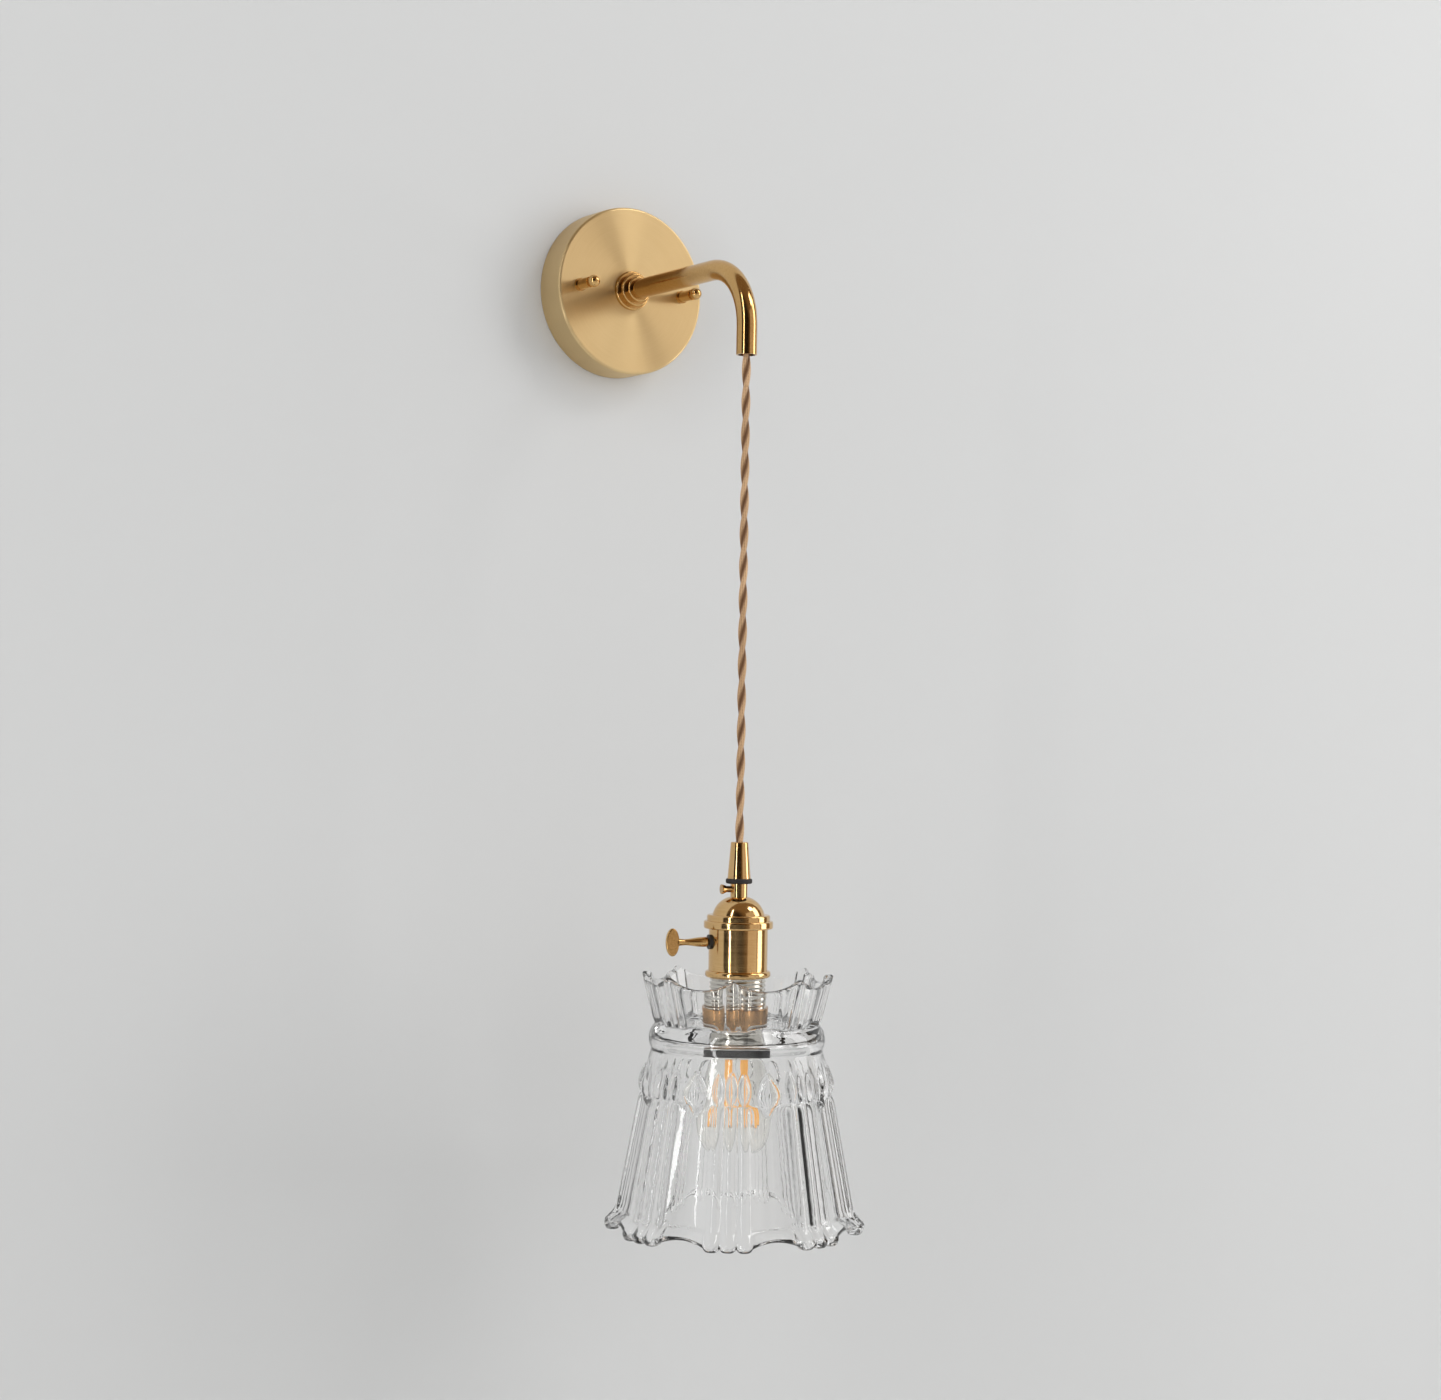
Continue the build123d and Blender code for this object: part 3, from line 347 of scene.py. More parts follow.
@dataclass(frozen=True)
class MouldedFinish:
    """Moulded plastic, rubber, fibre or ceramic with a fine skin."""

    name: str
    pale: Colour
    deep: Colour
    roughness: tuple[float, float]
    grain_scale: float = 900.0
    grain_depth: float = 0.00004
    specular: float = 0.5

    def material(self) -> bpy.types.Material:
        """Build the moulded skin.

        Returns:
            The material, mottled in colour, with a fine bump.
        """
        sheet = NodeSheet(self.name)
        spot = sheet.place((0.0, 0.0, 0.0))
        mottle = sheet.noise(spot, 120.0, 4.0)
        skin = sheet.noise(spot, self.grain_scale, 3.0)
        sheet.join(
            sheet.tint(sheet.spread(mottle, (0.3, 0.7), 0.0, 1.0), self.deep, self.pale),
            sheet.shader.inputs["Base Color"],
        )
        sheet.join(
            sheet.spread(skin, (0.3, 0.7), *self.roughness), sheet.shader.inputs["Roughness"]
        )
        sheet.shade(Specular_IOR_Level=self.specular)
        sheet.bump(skin, 0.4, self.grain_depth)
        return sheet.material


@dataclass(frozen=True)
class GlassFinish:
    """Clear glass whose skin waves a little, as pressed and blown glass do."""

    name: str
    tint: Colour
    wave_scale: float
    wave_depth: float
    roughness: tuple[float, float]
    specular: float

    def material(self) -> bpy.types.Material:
        """Build the glass.

        Returns:
            The transmitting material, with slow waves in its skin.
        """
        sheet = NodeSheet(self.name)
        spot = sheet.place((0.0, 0.0, 0.0))
        waves = sheet.noise(spot, self.wave_scale, 2.0)
        smear = sheet.noise(spot, 260.0, 3.0)
        sheet.join(
            sheet.spread(smear, (0.5, 0.8), *self.roughness), sheet.shader.inputs["Roughness"]
        )
        sheet.shade(Base_Color=(*self.tint, 1.0), Transmission_Weight=1.0, IOR=1.5)
        sheet.shade(Specular_IOR_Level=self.specular)
        sheet.bump(waves, 0.5, self.wave_depth)
        return sheet.material


@dataclass(frozen=True)
class BraidFinish:
    """Woven sleeve of a cord strand, laid out on the strand's own UV map, with painted shade where the
    strands meet.
    """

    name: str
    pale: Colour
    deep: Colour
    # groove is a painted shade colour for the crease where the two strands touch; the two limits below
    # say, in turns from a strand's outer side, where it starts and where it is full.
    groove: Colour
    carriers: float = 8.0
    lay: float = 0.0034
    crease_shade_start: float = 0.13
    crease_shade_end: float = 0.27

    def material(self) -> bpy.types.Material:
        """Build the braid.

        Returns:
            The material, with two crossing sets of yarns in colour and bump, and painted shade on each
            strand's side towards the other.
        """
        sheet = NodeSheet(self.name)
        uv = sheet.add("ShaderNodeUVMap", uv_map="braid")
        split = sheet.add("ShaderNodeSeparateXYZ")
        sheet.join(uv.outputs["UV"], split.inputs["Vector"])
        round_way = sheet.sum("MULTIPLY", split.outputs["X"], self.carriers)
        long_way = sheet.sum("MULTIPLY", split.outputs["Y"], 1.0 / self.lay)
        yarns = []
        for operation in ("ADD", "SUBTRACT"):
            turn = sheet.sum(operation, round_way, long_way)
            wave = sheet.sum("SINE", sheet.sum("MULTIPLY", turn, math.tau))
            yarns.append(sheet.spread(wave, (-1.0, 1.0), 0.0, 1.0))
        braid = sheet.sum("MAXIMUM", *yarns)
        spot = sheet.place((0.0, 0.0, 0.0))
        fibre = sheet.noise(spot, 3800.0, 3.0)
        fade = sheet.noise(spot, 70.0, 3.0)
        tone = sheet.sum("ADD", sheet.sum("MULTIPLY", braid, 0.55), sheet.sum("MULTIPLY", fibre, 0.5))
        tone = sheet.sum("ADD", tone, sheet.spread(fade, (0.3, 0.7), -0.12, 0.12))
        yarn = sheet.tint(sheet.spread(tone, (0.3, 0.95), 0.0, 1.0), self.deep, self.pale)
        # Painted shade: each strand darkens towards the groove colour on its side that faces the other
        # strand.
        away = sheet.sum("ABSOLUTE", split.outputs["X"])
        crease_shade_share = sheet.spread(away, (self.crease_shade_start, self.crease_shade_end), 0.0, 1.0)
        mix = sheet.tint(crease_shade_share, self.deep, self.groove)
        sheet.join(yarn, mix.node.inputs["A"])
        sheet.join(mix, sheet.shader.inputs["Base Color"])
        sheet.join(sheet.spread(fibre, (0.3, 0.7), 0.55, 0.8), sheet.shader.inputs["Roughness"])
        sheet.shade(Sheen_Weight=0.35, Sheen_Roughness=0.4, Sheen_Tint=(0.95, 0.82, 0.62, 1.0))
        sheet.bump(sheet.sum("ADD", braid, sheet.sum("MULTIPLY", fibre, 0.4)), 0.7, 0.00018)
        return sheet.material


@dataclass(frozen=True)
class PhosphorFinish:
    """Amber coat of a filament stick, with a faint painted glow."""

    name: str
    pale: Colour
    deep: Colour
    painted_glow: Colour
    painted_glow_strength: float

    def material(self) -> bpy.types.Material:
        """Build the coat.

        Returns:
            The material, beaded along the stick.
        """
        sheet = NodeSheet(self.name)
        spot = sheet.place((0.0, 0.0, 0.0))
        beads = sheet.noise(spot, 1300.0, 2.0)
        sheet.join(
            sheet.tint(sheet.spread(beads, (0.3, 0.7), 0.0, 1.0), self.deep, self.pale),
            sheet.shader.inputs["Base Color"],
        )
        sheet.join(sheet.spread(beads, (0.3, 0.7), 0.35, 0.55), sheet.shader.inputs["Roughness"])
        # Painted glow: the coat gives off a faint amber light of its own.
        sheet.shade(Emission_Color=(*self.painted_glow, 1.0), Emission_Strength=self.painted_glow_strength)
        sheet.bump(beads, 0.5, 0.00012)
        return sheet.material


LAMP_LINE: Point = (0.0, -0.150, 0.0)
CANOPY_BRASS = MetalFinish(
    "canopy_brushed_brass", (0.71, 0.53, 0.28), (0.67, 0.49, 0.25), (0.33, 0.36),
    Grain.TURNED_ON_WALL, lay_pitch=0.00014, anisotropy=0.9, groove=0.0000003, clouding=0.3,
)
HOLDER_BRASS = MetalFinish(
    "holder_brushed_brass", (0.77, 0.51, 0.24), (0.66, 0.42, 0.18), (0.10, 0.16),
    Grain.TURNED_ON_CORD, LAMP_LINE, lay_pitch=0.0004, anisotropy=0.4, groove=0.000002, clouding=0.4,
)
ARM_BRASS = MetalFinish(
    "arm_satin_brass", (0.69, 0.435, 0.18), (0.57, 0.34, 0.125), (0.10, 0.18), lay_pitch=0.0011,
    groove=0.000002,
)
# Darker, browner brass for the upper shade ring in the glass collar.
DARK_RING_BRASS = MetalFinish(
    "dark_ring_brass", (0.50, 0.29, 0.125), (0.37, 0.20, 0.08), (0.16, 0.28), lay_pitch=0.0008,
    groove=0.000003,
)
RAW_BRASS = MetalFinish(
    "raw_machined_brass", (0.70, 0.54, 0.27), (0.52, 0.37, 0.16), (0.24, 0.38), lay_pitch=0.0008
)
ZINC_STEEL = MetalFinish(
    "zinc_plated_steel", (0.62, 0.63, 0.62), (0.45, 0.46, 0.46), (0.28, 0.42), lay_pitch=0.0014
)
CAP_NICKEL = MetalFinish(
    "nickelled_cap", (0.68, 0.66, 0.61), (0.55, 0.53, 0.48), (0.14, 0.24), lay_pitch=0.0010
)
# The third colour is painted shade, laid where each strand turns towards the other.
CORD_BRAID = BraidFinish(
    "twisted_cord_braid", (0.78, 0.50, 0.28), (0.36, 0.20, 0.09), (0.19, 0.085, 0.03)
)
WIRE_SHEATH = MouldedFinish(
    "wire_sheath", (0.34, 0.20, 0.10), (0.26, 0.15, 0.07), (0.35, 0.5), 1500.0, 0.00002
)
PALE_NYLON = MouldedFinish(
    "pale_nylon", (0.78, 0.76, 0.70), (0.70, 0.68, 0.61), (0.35, 0.5), 1100.0, 0.00003
)
BLACK_PLASTIC = MouldedFinish(
    "black_moulded_plastic", (0.030, 0.027, 0.024), (0.018, 0.016, 0.014), (0.3, 0.5), 1300.0
)
BLACK_RING = MouldedFinish(
    "black_ring_plastic", (0.010, 0.008, 0.006), (0.006, 0.005, 0.004), (0.5, 0.65), 1300.0, 0.00002, 0.2
)
DARK_RUBBER = MouldedFinish(
    "dark_rubber", (0.035, 0.032, 0.030), (0.020, 0.018, 0.017), (0.6, 0.8), 900.0, 0.00006, 0.3
)
PHENOLIC = MouldedFinish(
    "dark_phenolic", (0.040, 0.026, 0.018), (0.018, 0.012, 0.009), (0.22, 0.36), 800.0, 0.00003
)
WASHER = MouldedFinish(
    "soft_pale_washer", (0.74, 0.72, 0.68), (0.66, 0.64, 0.60), (0.4, 0.6), 1200.0, 0.00004
)
SHADE_GLASS = GlassFinish("pressed_clear_glass", (1.0, 1.0, 1.0), 90.0, 0.0003, (0.0, 0.02), 0.15)
BULB_GLASS = GlassFinish("blown_lamp_glass", (0.995, 0.99, 0.97), 40.0, 0.00003, (0.0, 0.01), 0.3)
# The filament coat's last two values are its painted glow's colour and strength.
FILAMENT_COAT = PhosphorFinish(
    "amber_filament_coat", (0.85, 0.46, 0.10), (0.66, 0.30, 0.04), (1.0, 0.48, 0.10), 0.55
)


def piece_from(form: bmesh.types.BMesh, name: str, finish: Finish) -> bpy.types.Object:
    """Turn a finished bmesh into a smooth-shaded, dressed object.

    Args:
        form: The mesh, in its final place. It is freed.
        name: The piece's name.
        finish: What it is made of.

    Returns:
        The new object, in the scene.
    """
    mesh = bpy.data.meshes.new(name)
    form.to_mesh(mesh)
    form.free()
    mesh.polygons.foreach_set("use_smooth", [True] * len(mesh.polygons))
    mesh.materials.append(finish.material())
    piece = bpy.data.objects.new(name, mesh)
    bpy.context.scene.collection.objects.link(piece)
    LOG.info("%s: %d faces", name, len(mesh.polygons))
    return piece


def dress(nodes: Nodes, finishes: Mapping[str, Finish]) -> None:
    """Give carried-over nodes their finishes, one material for each finish.

    Args:
        nodes: The frame's objects by name.
        finishes: Finish by node name.
    """
    made: dict[str, bpy.types.Material] = {}
    for name, finish in finishes.items():
        if finish.name not in made:
            made[finish.name] = finish.material()
        for slot in nodes[name].material_slots:
            slot.material = made[finish.name]
        LOG.info("%s dressed in %s", name, finish.name)


@dataclass
class TwistedCord:
    """Two braided strands twisted round each other, from the arm to the cord grip.

    One route runs through the arm and straight down to the grip. The strands are cut
    into three pieces along it.
    """

    start_y: float
    grip_end_z: float
    diameter: float
    lamp_y: float = LAMP_LINE[1]
    hang_z: float = -0.0791
    top_cut_z: float = -0.040
    low_cut_z: float = -0.0725
    mouth_z: float = -0.054
    side_bend: tuple[float, float] = (-0.046, -0.062)
    fore_bend: tuple[float, float] = (-0.0745, -0.0895)
    twist_pitch: float = 0.0378
    twist_phase: float = 0.9
    strand_share: float = 0.61
    contact_gap: float = 0.00002
    strand_sides: int = 16
    spline_steps: int = 130

    def route(self) -> list[Vector]:
        """The cord's centre line.

        Returns:
            Points read from one smooth spline, from the terminal block end downwards.
        """
        run = abs(self.hang_z)
        controls = (
            (0.0, self.start_y, 0.0),
            (0.0, self.lamp_y + run, 0.0),
            (0.0, self.lamp_y, 0.0),
            (0.0, self.lamp_y, self.hang_z),
            (0.0, self.lamp_y, self.grip_end_z),
        )
        curve = bpy.data.curves.new("cord_route", "CURVE")
        curve.dimensions = "3D"
        spline = curve.splines.new("NURBS")
        spline.points.add(len(controls) - 1)
        for point, control in zip(spline.points, controls):
            point.co = (*control, 1.0)
        spline.order_u = 3
        spline.use_endpoint_u = True
        spline.resolution_u = self.spline_steps
        holder = bpy.data.objects.new("cord_route", curve)
        bpy.context.scene.collection.objects.link(holder)
        line = bpy.data.meshes.new_from_object(holder)
        points = [vert.co.copy() for vert in line.vertices]
        bpy.data.objects.remove(holder)
        bpy.data.curves.remove(curve)
        bpy.data.meshes.remove(line)
        return points

    def strand_offset(self) -> float:
        """From the cord's centre line to the middle of a strand."""
        return self.diameter * (1.0 - self.strand_share) / 2.0

    def strand_places(self, route: Sequence[Vector], half_turn: float) -> list[Matrix]:
        """Where one strand's rings stand.

        Args:
            route: The cord's whole centre line.
            half_turn: The strand's own angle round that line.

        Returns:
            A matrix for each point of the route, with Z along the strand and X outwards.
        """
        offset = self.strand_offset()
        side = Vector((1.0, 0.0, 0.0))
        centres: list[Vector] = []
        run = 0.0
        for index, point in enumerate(route):
            ahead = route[min(index + 1, len(route) - 1)] - route[max(index - 1, 0)]
            run += (point - route[index - 1]).length if index else 0.0
            up = ahead.normalized().cross(side)
            angle = math.tau * run / self.twist_pitch + self.twist_phase + half_turn
            centres.append(point + offset * (math.cos(angle) * side + math.sin(angle) * up))
        places = []
        for index, centre in enumerate(centres):
            along = centres[min(index + 1, len(centres) - 1)] - centres[max(index - 1, 0)]
            along.normalize()
            across = along.cross(centre - route[index]).normalized()
            turn = Matrix((across.cross(along), across, along)).transposed().to_4x4()
            places.append(Matrix.Translation(centre) @ turn)
        return places

    def sweep(self, form: bmesh.types.BMesh, places: Sequence[Matrix]) -> None:
        """Draw one strand, flat where it meets the other, and lay out its braid.

        Args:
            form: The mesh that takes the strand.
            places: The rings, each a matrix with Z along the strand.
        """
        braid = form.loops.layers.uv.verify()
        circle = bmesh.ops.create_circle(
            form, segments=self.strand_sides, radius=self.diameter * self.strand_share / 2.0
        )["verts"]
        for vert in circle:
            vert.co.x = max(vert.co.x, self.contact_gap - self.strand_offset())
        bmesh.ops.transform(form, matrix=places[0], verts=circle)
        ring = list({edge for vert in circle for edge in vert.link_edges})
        bmesh.ops.contextual_create(form, geom=ring)
        run = 0.0
        for before, after in zip(places, places[1:]):
            step = (after.translation - before.translation).length
            grown = bmesh.ops.extrude_edge_only(form, edges=ring)["geom"]
            verts = [item for item in grown if isinstance(item, bmesh.types.BMVert)]
            faces = [item for item in grown if isinstance(item, bmesh.types.BMFace)]
            ring = [
                item
                for item in grown
                if isinstance(item, bmesh.types.BMEdge) and len(item.link_faces) == 1
            ]
            back, ahead = before.inverted(), after.inverted()
            bmesh.ops.transform(form, matrix=after @ back, verts=verts)
            fresh = set(verts)
            for face in faces:
                self.lay_braid(face, braid, (back, ahead), fresh, (run, run + step))
            run += step
        bmesh.ops.contextual_create(form, geom=ring)

    @staticmethod
    def lay_braid(
        face: bmesh.types.BMFace,
        braid: bmesh.types.BMLayerItem,
        flatten: tuple[Matrix, Matrix],
        fresh: set[bmesh.types.BMVert],
        runs: tuple[float, float],
    ) -> None:
        """Give one face its place on the braid.

        Args:
            face: A face between two rings.
            braid: The UV layer.
            flatten: Matrices that bring the earlier and the later ring to the origin.
            fresh: Vertices of the later ring.
            runs: Length along the strand at the two rings.
        """
        middle = flatten[0] @ face.calc_center_median()
        centre_turn = math.atan2(middle.y, middle.x)
        for loop in face.loops:
            late = loop.vert in fresh
            flat = flatten[late] @ loop.vert.co
            turn = math.atan2(flat.y, flat.x) - centre_turn
            turn = (turn + math.pi) % math.tau - math.pi + centre_turn
            loop[braid].uv = (turn / math.tau, runs[1] if late else runs[0])

    def cut_piece(
        self, name: str, route: Sequence[Vector], first: int, last: int
    ) -> bpy.types.Object:
        """Make one length of the twisted cord.

        Args:
            name: The piece's name.
            route: The whole centre line.
            first: Index of its first point.
            last: Index of its last point.

        Returns:
            The piece, both strands in it.
        """
        form = bmesh.new()
        form.loops.layers.uv.new("braid")
        for half_turn in (0.0, math.pi):
            self.sweep(form, self.strand_places(route, half_turn)[first : last + 1])
        bmesh.ops.recalc_face_normals(form, faces=form.faces)
        piece = piece_from(form, name, CORD_BRAID)
        return piece

    def build(self) -> None:
        """Make the three lengths, fix the one in the arm to the wall mount, and hide the cords they stand
        for.
        """
        route = self.route()
        hanging = [i for i, p in enumerate(route) if abs(p.y - self.lamp_y) < 1e-6]
        top_cut = min(hanging, key=lambda i: abs(route[i].z - self.top_cut_z))
        low_cut = min(hanging, key=lambda i: abs(route[i].z - self.low_cut_z))
        in_arm = self.cut_piece("cord_in_arm", route, 0, top_cut)
        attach(in_arm, "wall_mount")
        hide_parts("arm_cord")
        upper = self.cut_piece("cord_at_mouth", route, top_cut, low_cut)
        self.hang(upper)
        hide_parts("cord_upper")
        lower = self.cut_piece("cord_hanging", route, low_cut, len(route) - 1)
        self.hang(lower)
        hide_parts("cord_main")

    def hang(
        self,
        piece: bpy.types.Object,
    ) -> None:
        """Args:
            piece: The length of cord.
        """
        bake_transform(piece)


@dataclass
class GlassShade:
    """Pressed clear glass: a fluted cup with a scalloped rim over a fluted bell.

    Levels are below the cup's floor, on which the shade hangs; the outline is pressed
    into eight repeats, each three ribs and one hollow panel.
    """

    floor_z: float
    floor_thick: float
    rim_z: float
    tail_z: float
    hole_radius: float
    repeats: int = 8
    pattern_turn: float = 8.0
    rib_angle: float = 7.5
    repeat_columns: int = 60
    rim_radius: float = 0.0540
    rim_inner: float = 0.0498
    cup_inner: float = 0.0422
    waist_radius: float = 0.0469
    waist_rise: float = 0.0016
    bead_radius: float = 0.0524
    bead_drop: float = 0.0059
    neck_radius: float = 0.0492
    neck_drop: float = 0.0134
    shoulder_radius: float = 0.0550
    shoulder_drop: float = 0.0335
    foot_radius: float = 0.0538
    foot_drop: float = 0.0389
    skirt_radius: float = 0.0666
    skirt_drop: float = 0.1059
    hem_radius: float = 0.0732
    hem_drop: float = 0.1129
    tail_radius: float = 0.0714
    bell_neck: float = 0.0424
    bell_shoulder: float = 0.0478
    bell_skirt: float = 0.0598
    bell_tail: float = 0.0668
    collar_rib: float = 0.0013
    collar_hollow: float = 0.0020
    skirt_rib: float = 0.0020
    skirt_hollow: float = 0.0024
    rim_sag: float = 0.006
    hem_arch: float = 0.005
    hem_tooth: float = 0.0020
    petal_rise: float = 0.0019
    petal_drop: float = 0.0305
    petal_half: float = 0.0085
    almond_rise: float = 0.0026
    almond_drop: float = 0.0336
    almond_half: float = 0.0112
    almond_angle: float = 7.2
    outer_row: float = 0.0016
    inner_row: float = 0.006

    def corners(self) -> list[tuple[float, float, float]]:
        """The outline's corners, round the wall from the hole outwards.

        Returns:
            Radius, level below the floor and corner rounding of each.
        """
        rim, tail = self.rim_z - self.floor_z, self.tail_z - self.floor_z
        return [
            (self.hole_radius, 0.0, 0.0006),
            (self.cup_inner, 0.0, 0.0025),
            (self.rim_inner, rim, 0.0014),
            (self.rim_radius, rim, 0.0014),
            (self.waist_radius, self.waist_rise, 0.0014),
            (self.bead_radius, -self.bead_drop, 0.0060),
            (self.neck_radius, -self.neck_drop, 0.0014),
            (self.shoulder_radius, -self.shoulder_drop, 0.0030),
            (self.foot_radius, -self.foot_drop, 0.0014),
            (self.skirt_radius, -self.skirt_drop, 0.0030),
            (self.hem_radius, -self.hem_drop, 0.0014),
            (self.tail_radius, tail, 0.0014),
            (self.bell_tail, tail, 0.0014),
            (self.bell_skirt, -self.skirt_drop, 0.0030),
            (self.bell_shoulder, -self.shoulder_drop, 0.0060),
            (self.bell_neck, -self.neck_drop, 0.0025),
            (self.bell_neck, -self.floor_thick, 0.0025),
            (self.hole_radius, -self.floor_thick, 0.0006),
        ]

    def wall_radius(self, side: Side, level: float) -> float:
        """Radius of the wall's face before pressing.

        Args:
            side: Which face.
            level: Height from the floor.

        Returns:
            The radius on the straight runs between corners.
        """
        corners = self.corners()
        if side is Side.OUTER:
            run = corners[3:12]
        elif level > -self.floor_thick:
            run = [corners[2], corners[1], (self.cup_inner, -self.floor_thick, 0.0)]
        else:
            run = [corners[16], corners[15], corners[14], corners[13], corners[12]]
        for (r0, z0, _), (r1, z1, _) in zip(run, run[1:]):
            if z1 <= level <= z0:
                return r0 + (r1 - r0) * (z0 - level) / (z0 - z1)
        return run[0][0] if level > run[0][1] else run[-1][0]

    def outside_share(self, radius: float, level: float) -> float:
        """How far across the wall a point lies, 0 on the inner face and 1 on the outer."""
        inner = self.wall_radius(Side.INNER, level)
        outer = self.wall_radius(Side.OUTER, level)
        return min(1.0, max(0.0, (radius - inner) / (outer - inner)))

    def flute(self, turn: float, rib: float, hollow: float) -> float:
        """How far the fluting stands out at an angle.

        Args:
            turn: Degrees from the middle of the nearest rib group.
            rib: Height of a rib.
            hollow: Depth of a panel.

        Returns:
            The rise, negative in a panel.
        """
        group = 1.5 * self.rib_angle
        if abs(turn) < group:
            across = ((turn + group) / self.rib_angle) % 1.0
            return rib * (1.0 - (2.0 * across - 1.0) ** 2)
        across = (abs(turn) - group) / (180.0 / self.repeats - group)
        return -hollow * (1.0 - (1.0 - across) ** 2)

    def lozenge(self, turn: float, level: float, drop: float, half: float, angle: float) -> float:
        """Swell of one pointed lozenge, 0 to 1.

        Args:
            turn: Degrees from its middle.
            level: Height from the floor.
            drop: Level of its middle below the floor.
            half: Half its height.
            angle: Half its width in degrees.

        Returns:
            The swell, 0 outside the lozenge.
        """
        width = 1.0 - ((level + drop) / half) ** 2
        if width <= 0.0 or abs(turn) >= angle * width:
            return 0.0
        return math.sqrt(width) * (1.0 - (turn / (angle * width)) ** 2)

    def relief(self, turn: float, level: float) -> float:
        """Height of the whole pattern at a point of the outer face.

        Args:
            turn: Degrees from the middle of the nearest rib group.
            level: Height from the floor.

        Returns:
            How far the face stands out.
        """
        if level > self.waist_rise:
            rise = min(1.0, (level - self.waist_rise) / 0.004)
            fade = math.sqrt(1.0 - (1.0 - rise) ** 2)
            return fade * self.flute(turn, self.collar_rib, self.collar_hollow)
        total = 0.0
        if level < -self.foot_drop:
            rise = min(1.0, (-self.foot_drop - level) / 0.005)
            fade = math.sqrt(1.0 - (1.0 - rise) ** 2)
            total = fade * self.flute(turn, self.skirt_rib, self.skirt_hollow)
        if level < -self.neck_drop:
            petals = 0.0
            if abs(turn) < 1.5 * self.rib_angle:
                half_rib = self.rib_angle / 2.0
                petal_turn = (turn + half_rib) % self.rib_angle - half_rib
                petals = self.lozenge(petal_turn, level, self.petal_drop, self.petal_half, half_rib)
            panel_turn = 180.0 / self.repeats - abs(turn)
            almond = self.lozenge(
                panel_turn, level, self.almond_drop, self.almond_half, self.almond_angle
            )
            total += petals * (self.petal_rise - total)
            total += almond * (self.almond_rise - total)
        return total

    def rim_drop(self, turn: float) -> float:
        """How far the scalloped rim dips at an angle from a rib group's middle."""
        return self.rim_sag * (1.0 - (1.0 - abs(turn) * self.repeats / 180.0) ** 2)

    def hem_rise(self, turn: float) -> float:
        """How far the toothed and arched hem lifts at an angle from a rib group's middle."""
        group = 1.5 * self.rib_angle
        if abs(turn) < group:
            across = ((turn + group) / self.rib_angle) % 1.0
            return self.hem_tooth * (2.0 * across - 1.0) ** 4
        across = (abs(turn) - group) / (180.0 / self.repeats - group)
        return self.hem_tooth + (self.hem_arch - self.hem_tooth) * (1.0 - (1.0 - across) ** 2)

    def press(self, vert: bmesh.types.BMVert) -> None:
        """Press the pattern into one vertex of the spun wall.

        Args:
            vert: A vertex, with levels measured from the floor.
        """
        radius, level = math.hypot(vert.co.x, vert.co.y), vert.co.z
        angle = math.atan2(vert.co.y, vert.co.x)
        repeat = 360.0 / self.repeats
        turn = (math.degrees(angle) + repeat / 2.0) % repeat - repeat / 2.0
        share = self.outside_share(radius, level)
        rise, reach = self.rim_z - self.floor_z, self.tail_z - self.floor_z
        lift = 0.0
        if level > self.waist_rise and radius > self.cup_inner:
            lift = -self.rim_drop(turn) * (level - self.waist_rise) / (rise - self.waist_rise)
            slope = (self.rim_radius - self.waist_radius) / (rise - self.waist_rise)
            radius += slope * lift
        elif level < -self.skirt_drop:
            lift = self.hem_rise(turn) * (level + self.skirt_drop) / (reach + self.skirt_drop)
        radius += share * self.relief(turn, level)
        vert.co = (radius * math.cos(angle), radius * math.sin(angle), level + lift)

    @staticmethod
    def turn(
        form: bmesh.types.BMesh, verts: Sequence[bmesh.types.BMVert], angle: float
    ) -> None:
        """Turn part of the glass about its own axis by an angle in radians."""
        bmesh.ops.rotate(
            form, verts=verts, cent=(0.0, 0.0, 0.0), matrix=Matrix.Rotation(angle, 3, "Z")
        )

    def build(self) -> None:
        """Press one repeat, copy it round, and hang the shade on the lamp head."""
        form = bmesh.new()
        wall = [form.verts.new((r, 0.0, z)) for r, z, _ in self.corners()]
        for first, second in zip(wall, wall[1:] + wall[:1]):
            form.edges.new((first, second))
        for vert, (_, _, rounding) in zip(wall, self.corners()):
            bmesh.ops.bevel(
                form, geom=[vert], offset=rounding, offset_type="OFFSET", affect="VERTICES",
                segments=6 if rounding > 0.002 else 4, profile=0.5, material=-1,
            )
        for edge in list(form.edges):
            middle = (edge.verts[0].co + edge.verts[1].co) / 2.0
            outside = self.outside_share(middle.x, middle.z) > 0.9
            cuts = int(edge.calc_length() / (self.outer_row if outside else self.inner_row))
            if cuts:
                bmesh.ops.subdivide_edges(form, edges=[edge], cuts=cuts)
        repeat = math.tau / self.repeats
        self.turn(form, form.verts, -repeat / 2.0)
        bmesh.ops.spin(
            form, geom=form.verts[:] + form.edges[:], cent=(0.0, 0.0, 0.0), axis=(0.0, 0.0, 1.0),
            angle=repeat, steps=self.repeat_columns,
        )
        for vert in form.verts:
            self.press(vert)
        self.turn(form, form.verts, math.radians(self.pattern_turn))
        strip = form.verts[:] + form.edges[:] + form.faces[:]
        for number in range(1, self.repeats):
            copy = bmesh.ops.duplicate(form, geom=strip)["geom"]
            verts = [item for item in copy if isinstance(item, bmesh.types.BMVert)]
            self.turn(form, verts, repeat * number)
        bmesh.ops.remove_doubles(form, verts=form.verts, dist=2e-6)
        bmesh.ops.translate(form, verts=form.verts, vec=(0.0, LAMP_LINE[1], self.floor_z))
        bmesh.ops.recalc_face_normals(form, faces=form.faces)
        shade = piece_from(form, "fluted_glass_shade", SHADE_GLASS)
        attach(shade, "lamp_head")
        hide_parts("glass_shade")


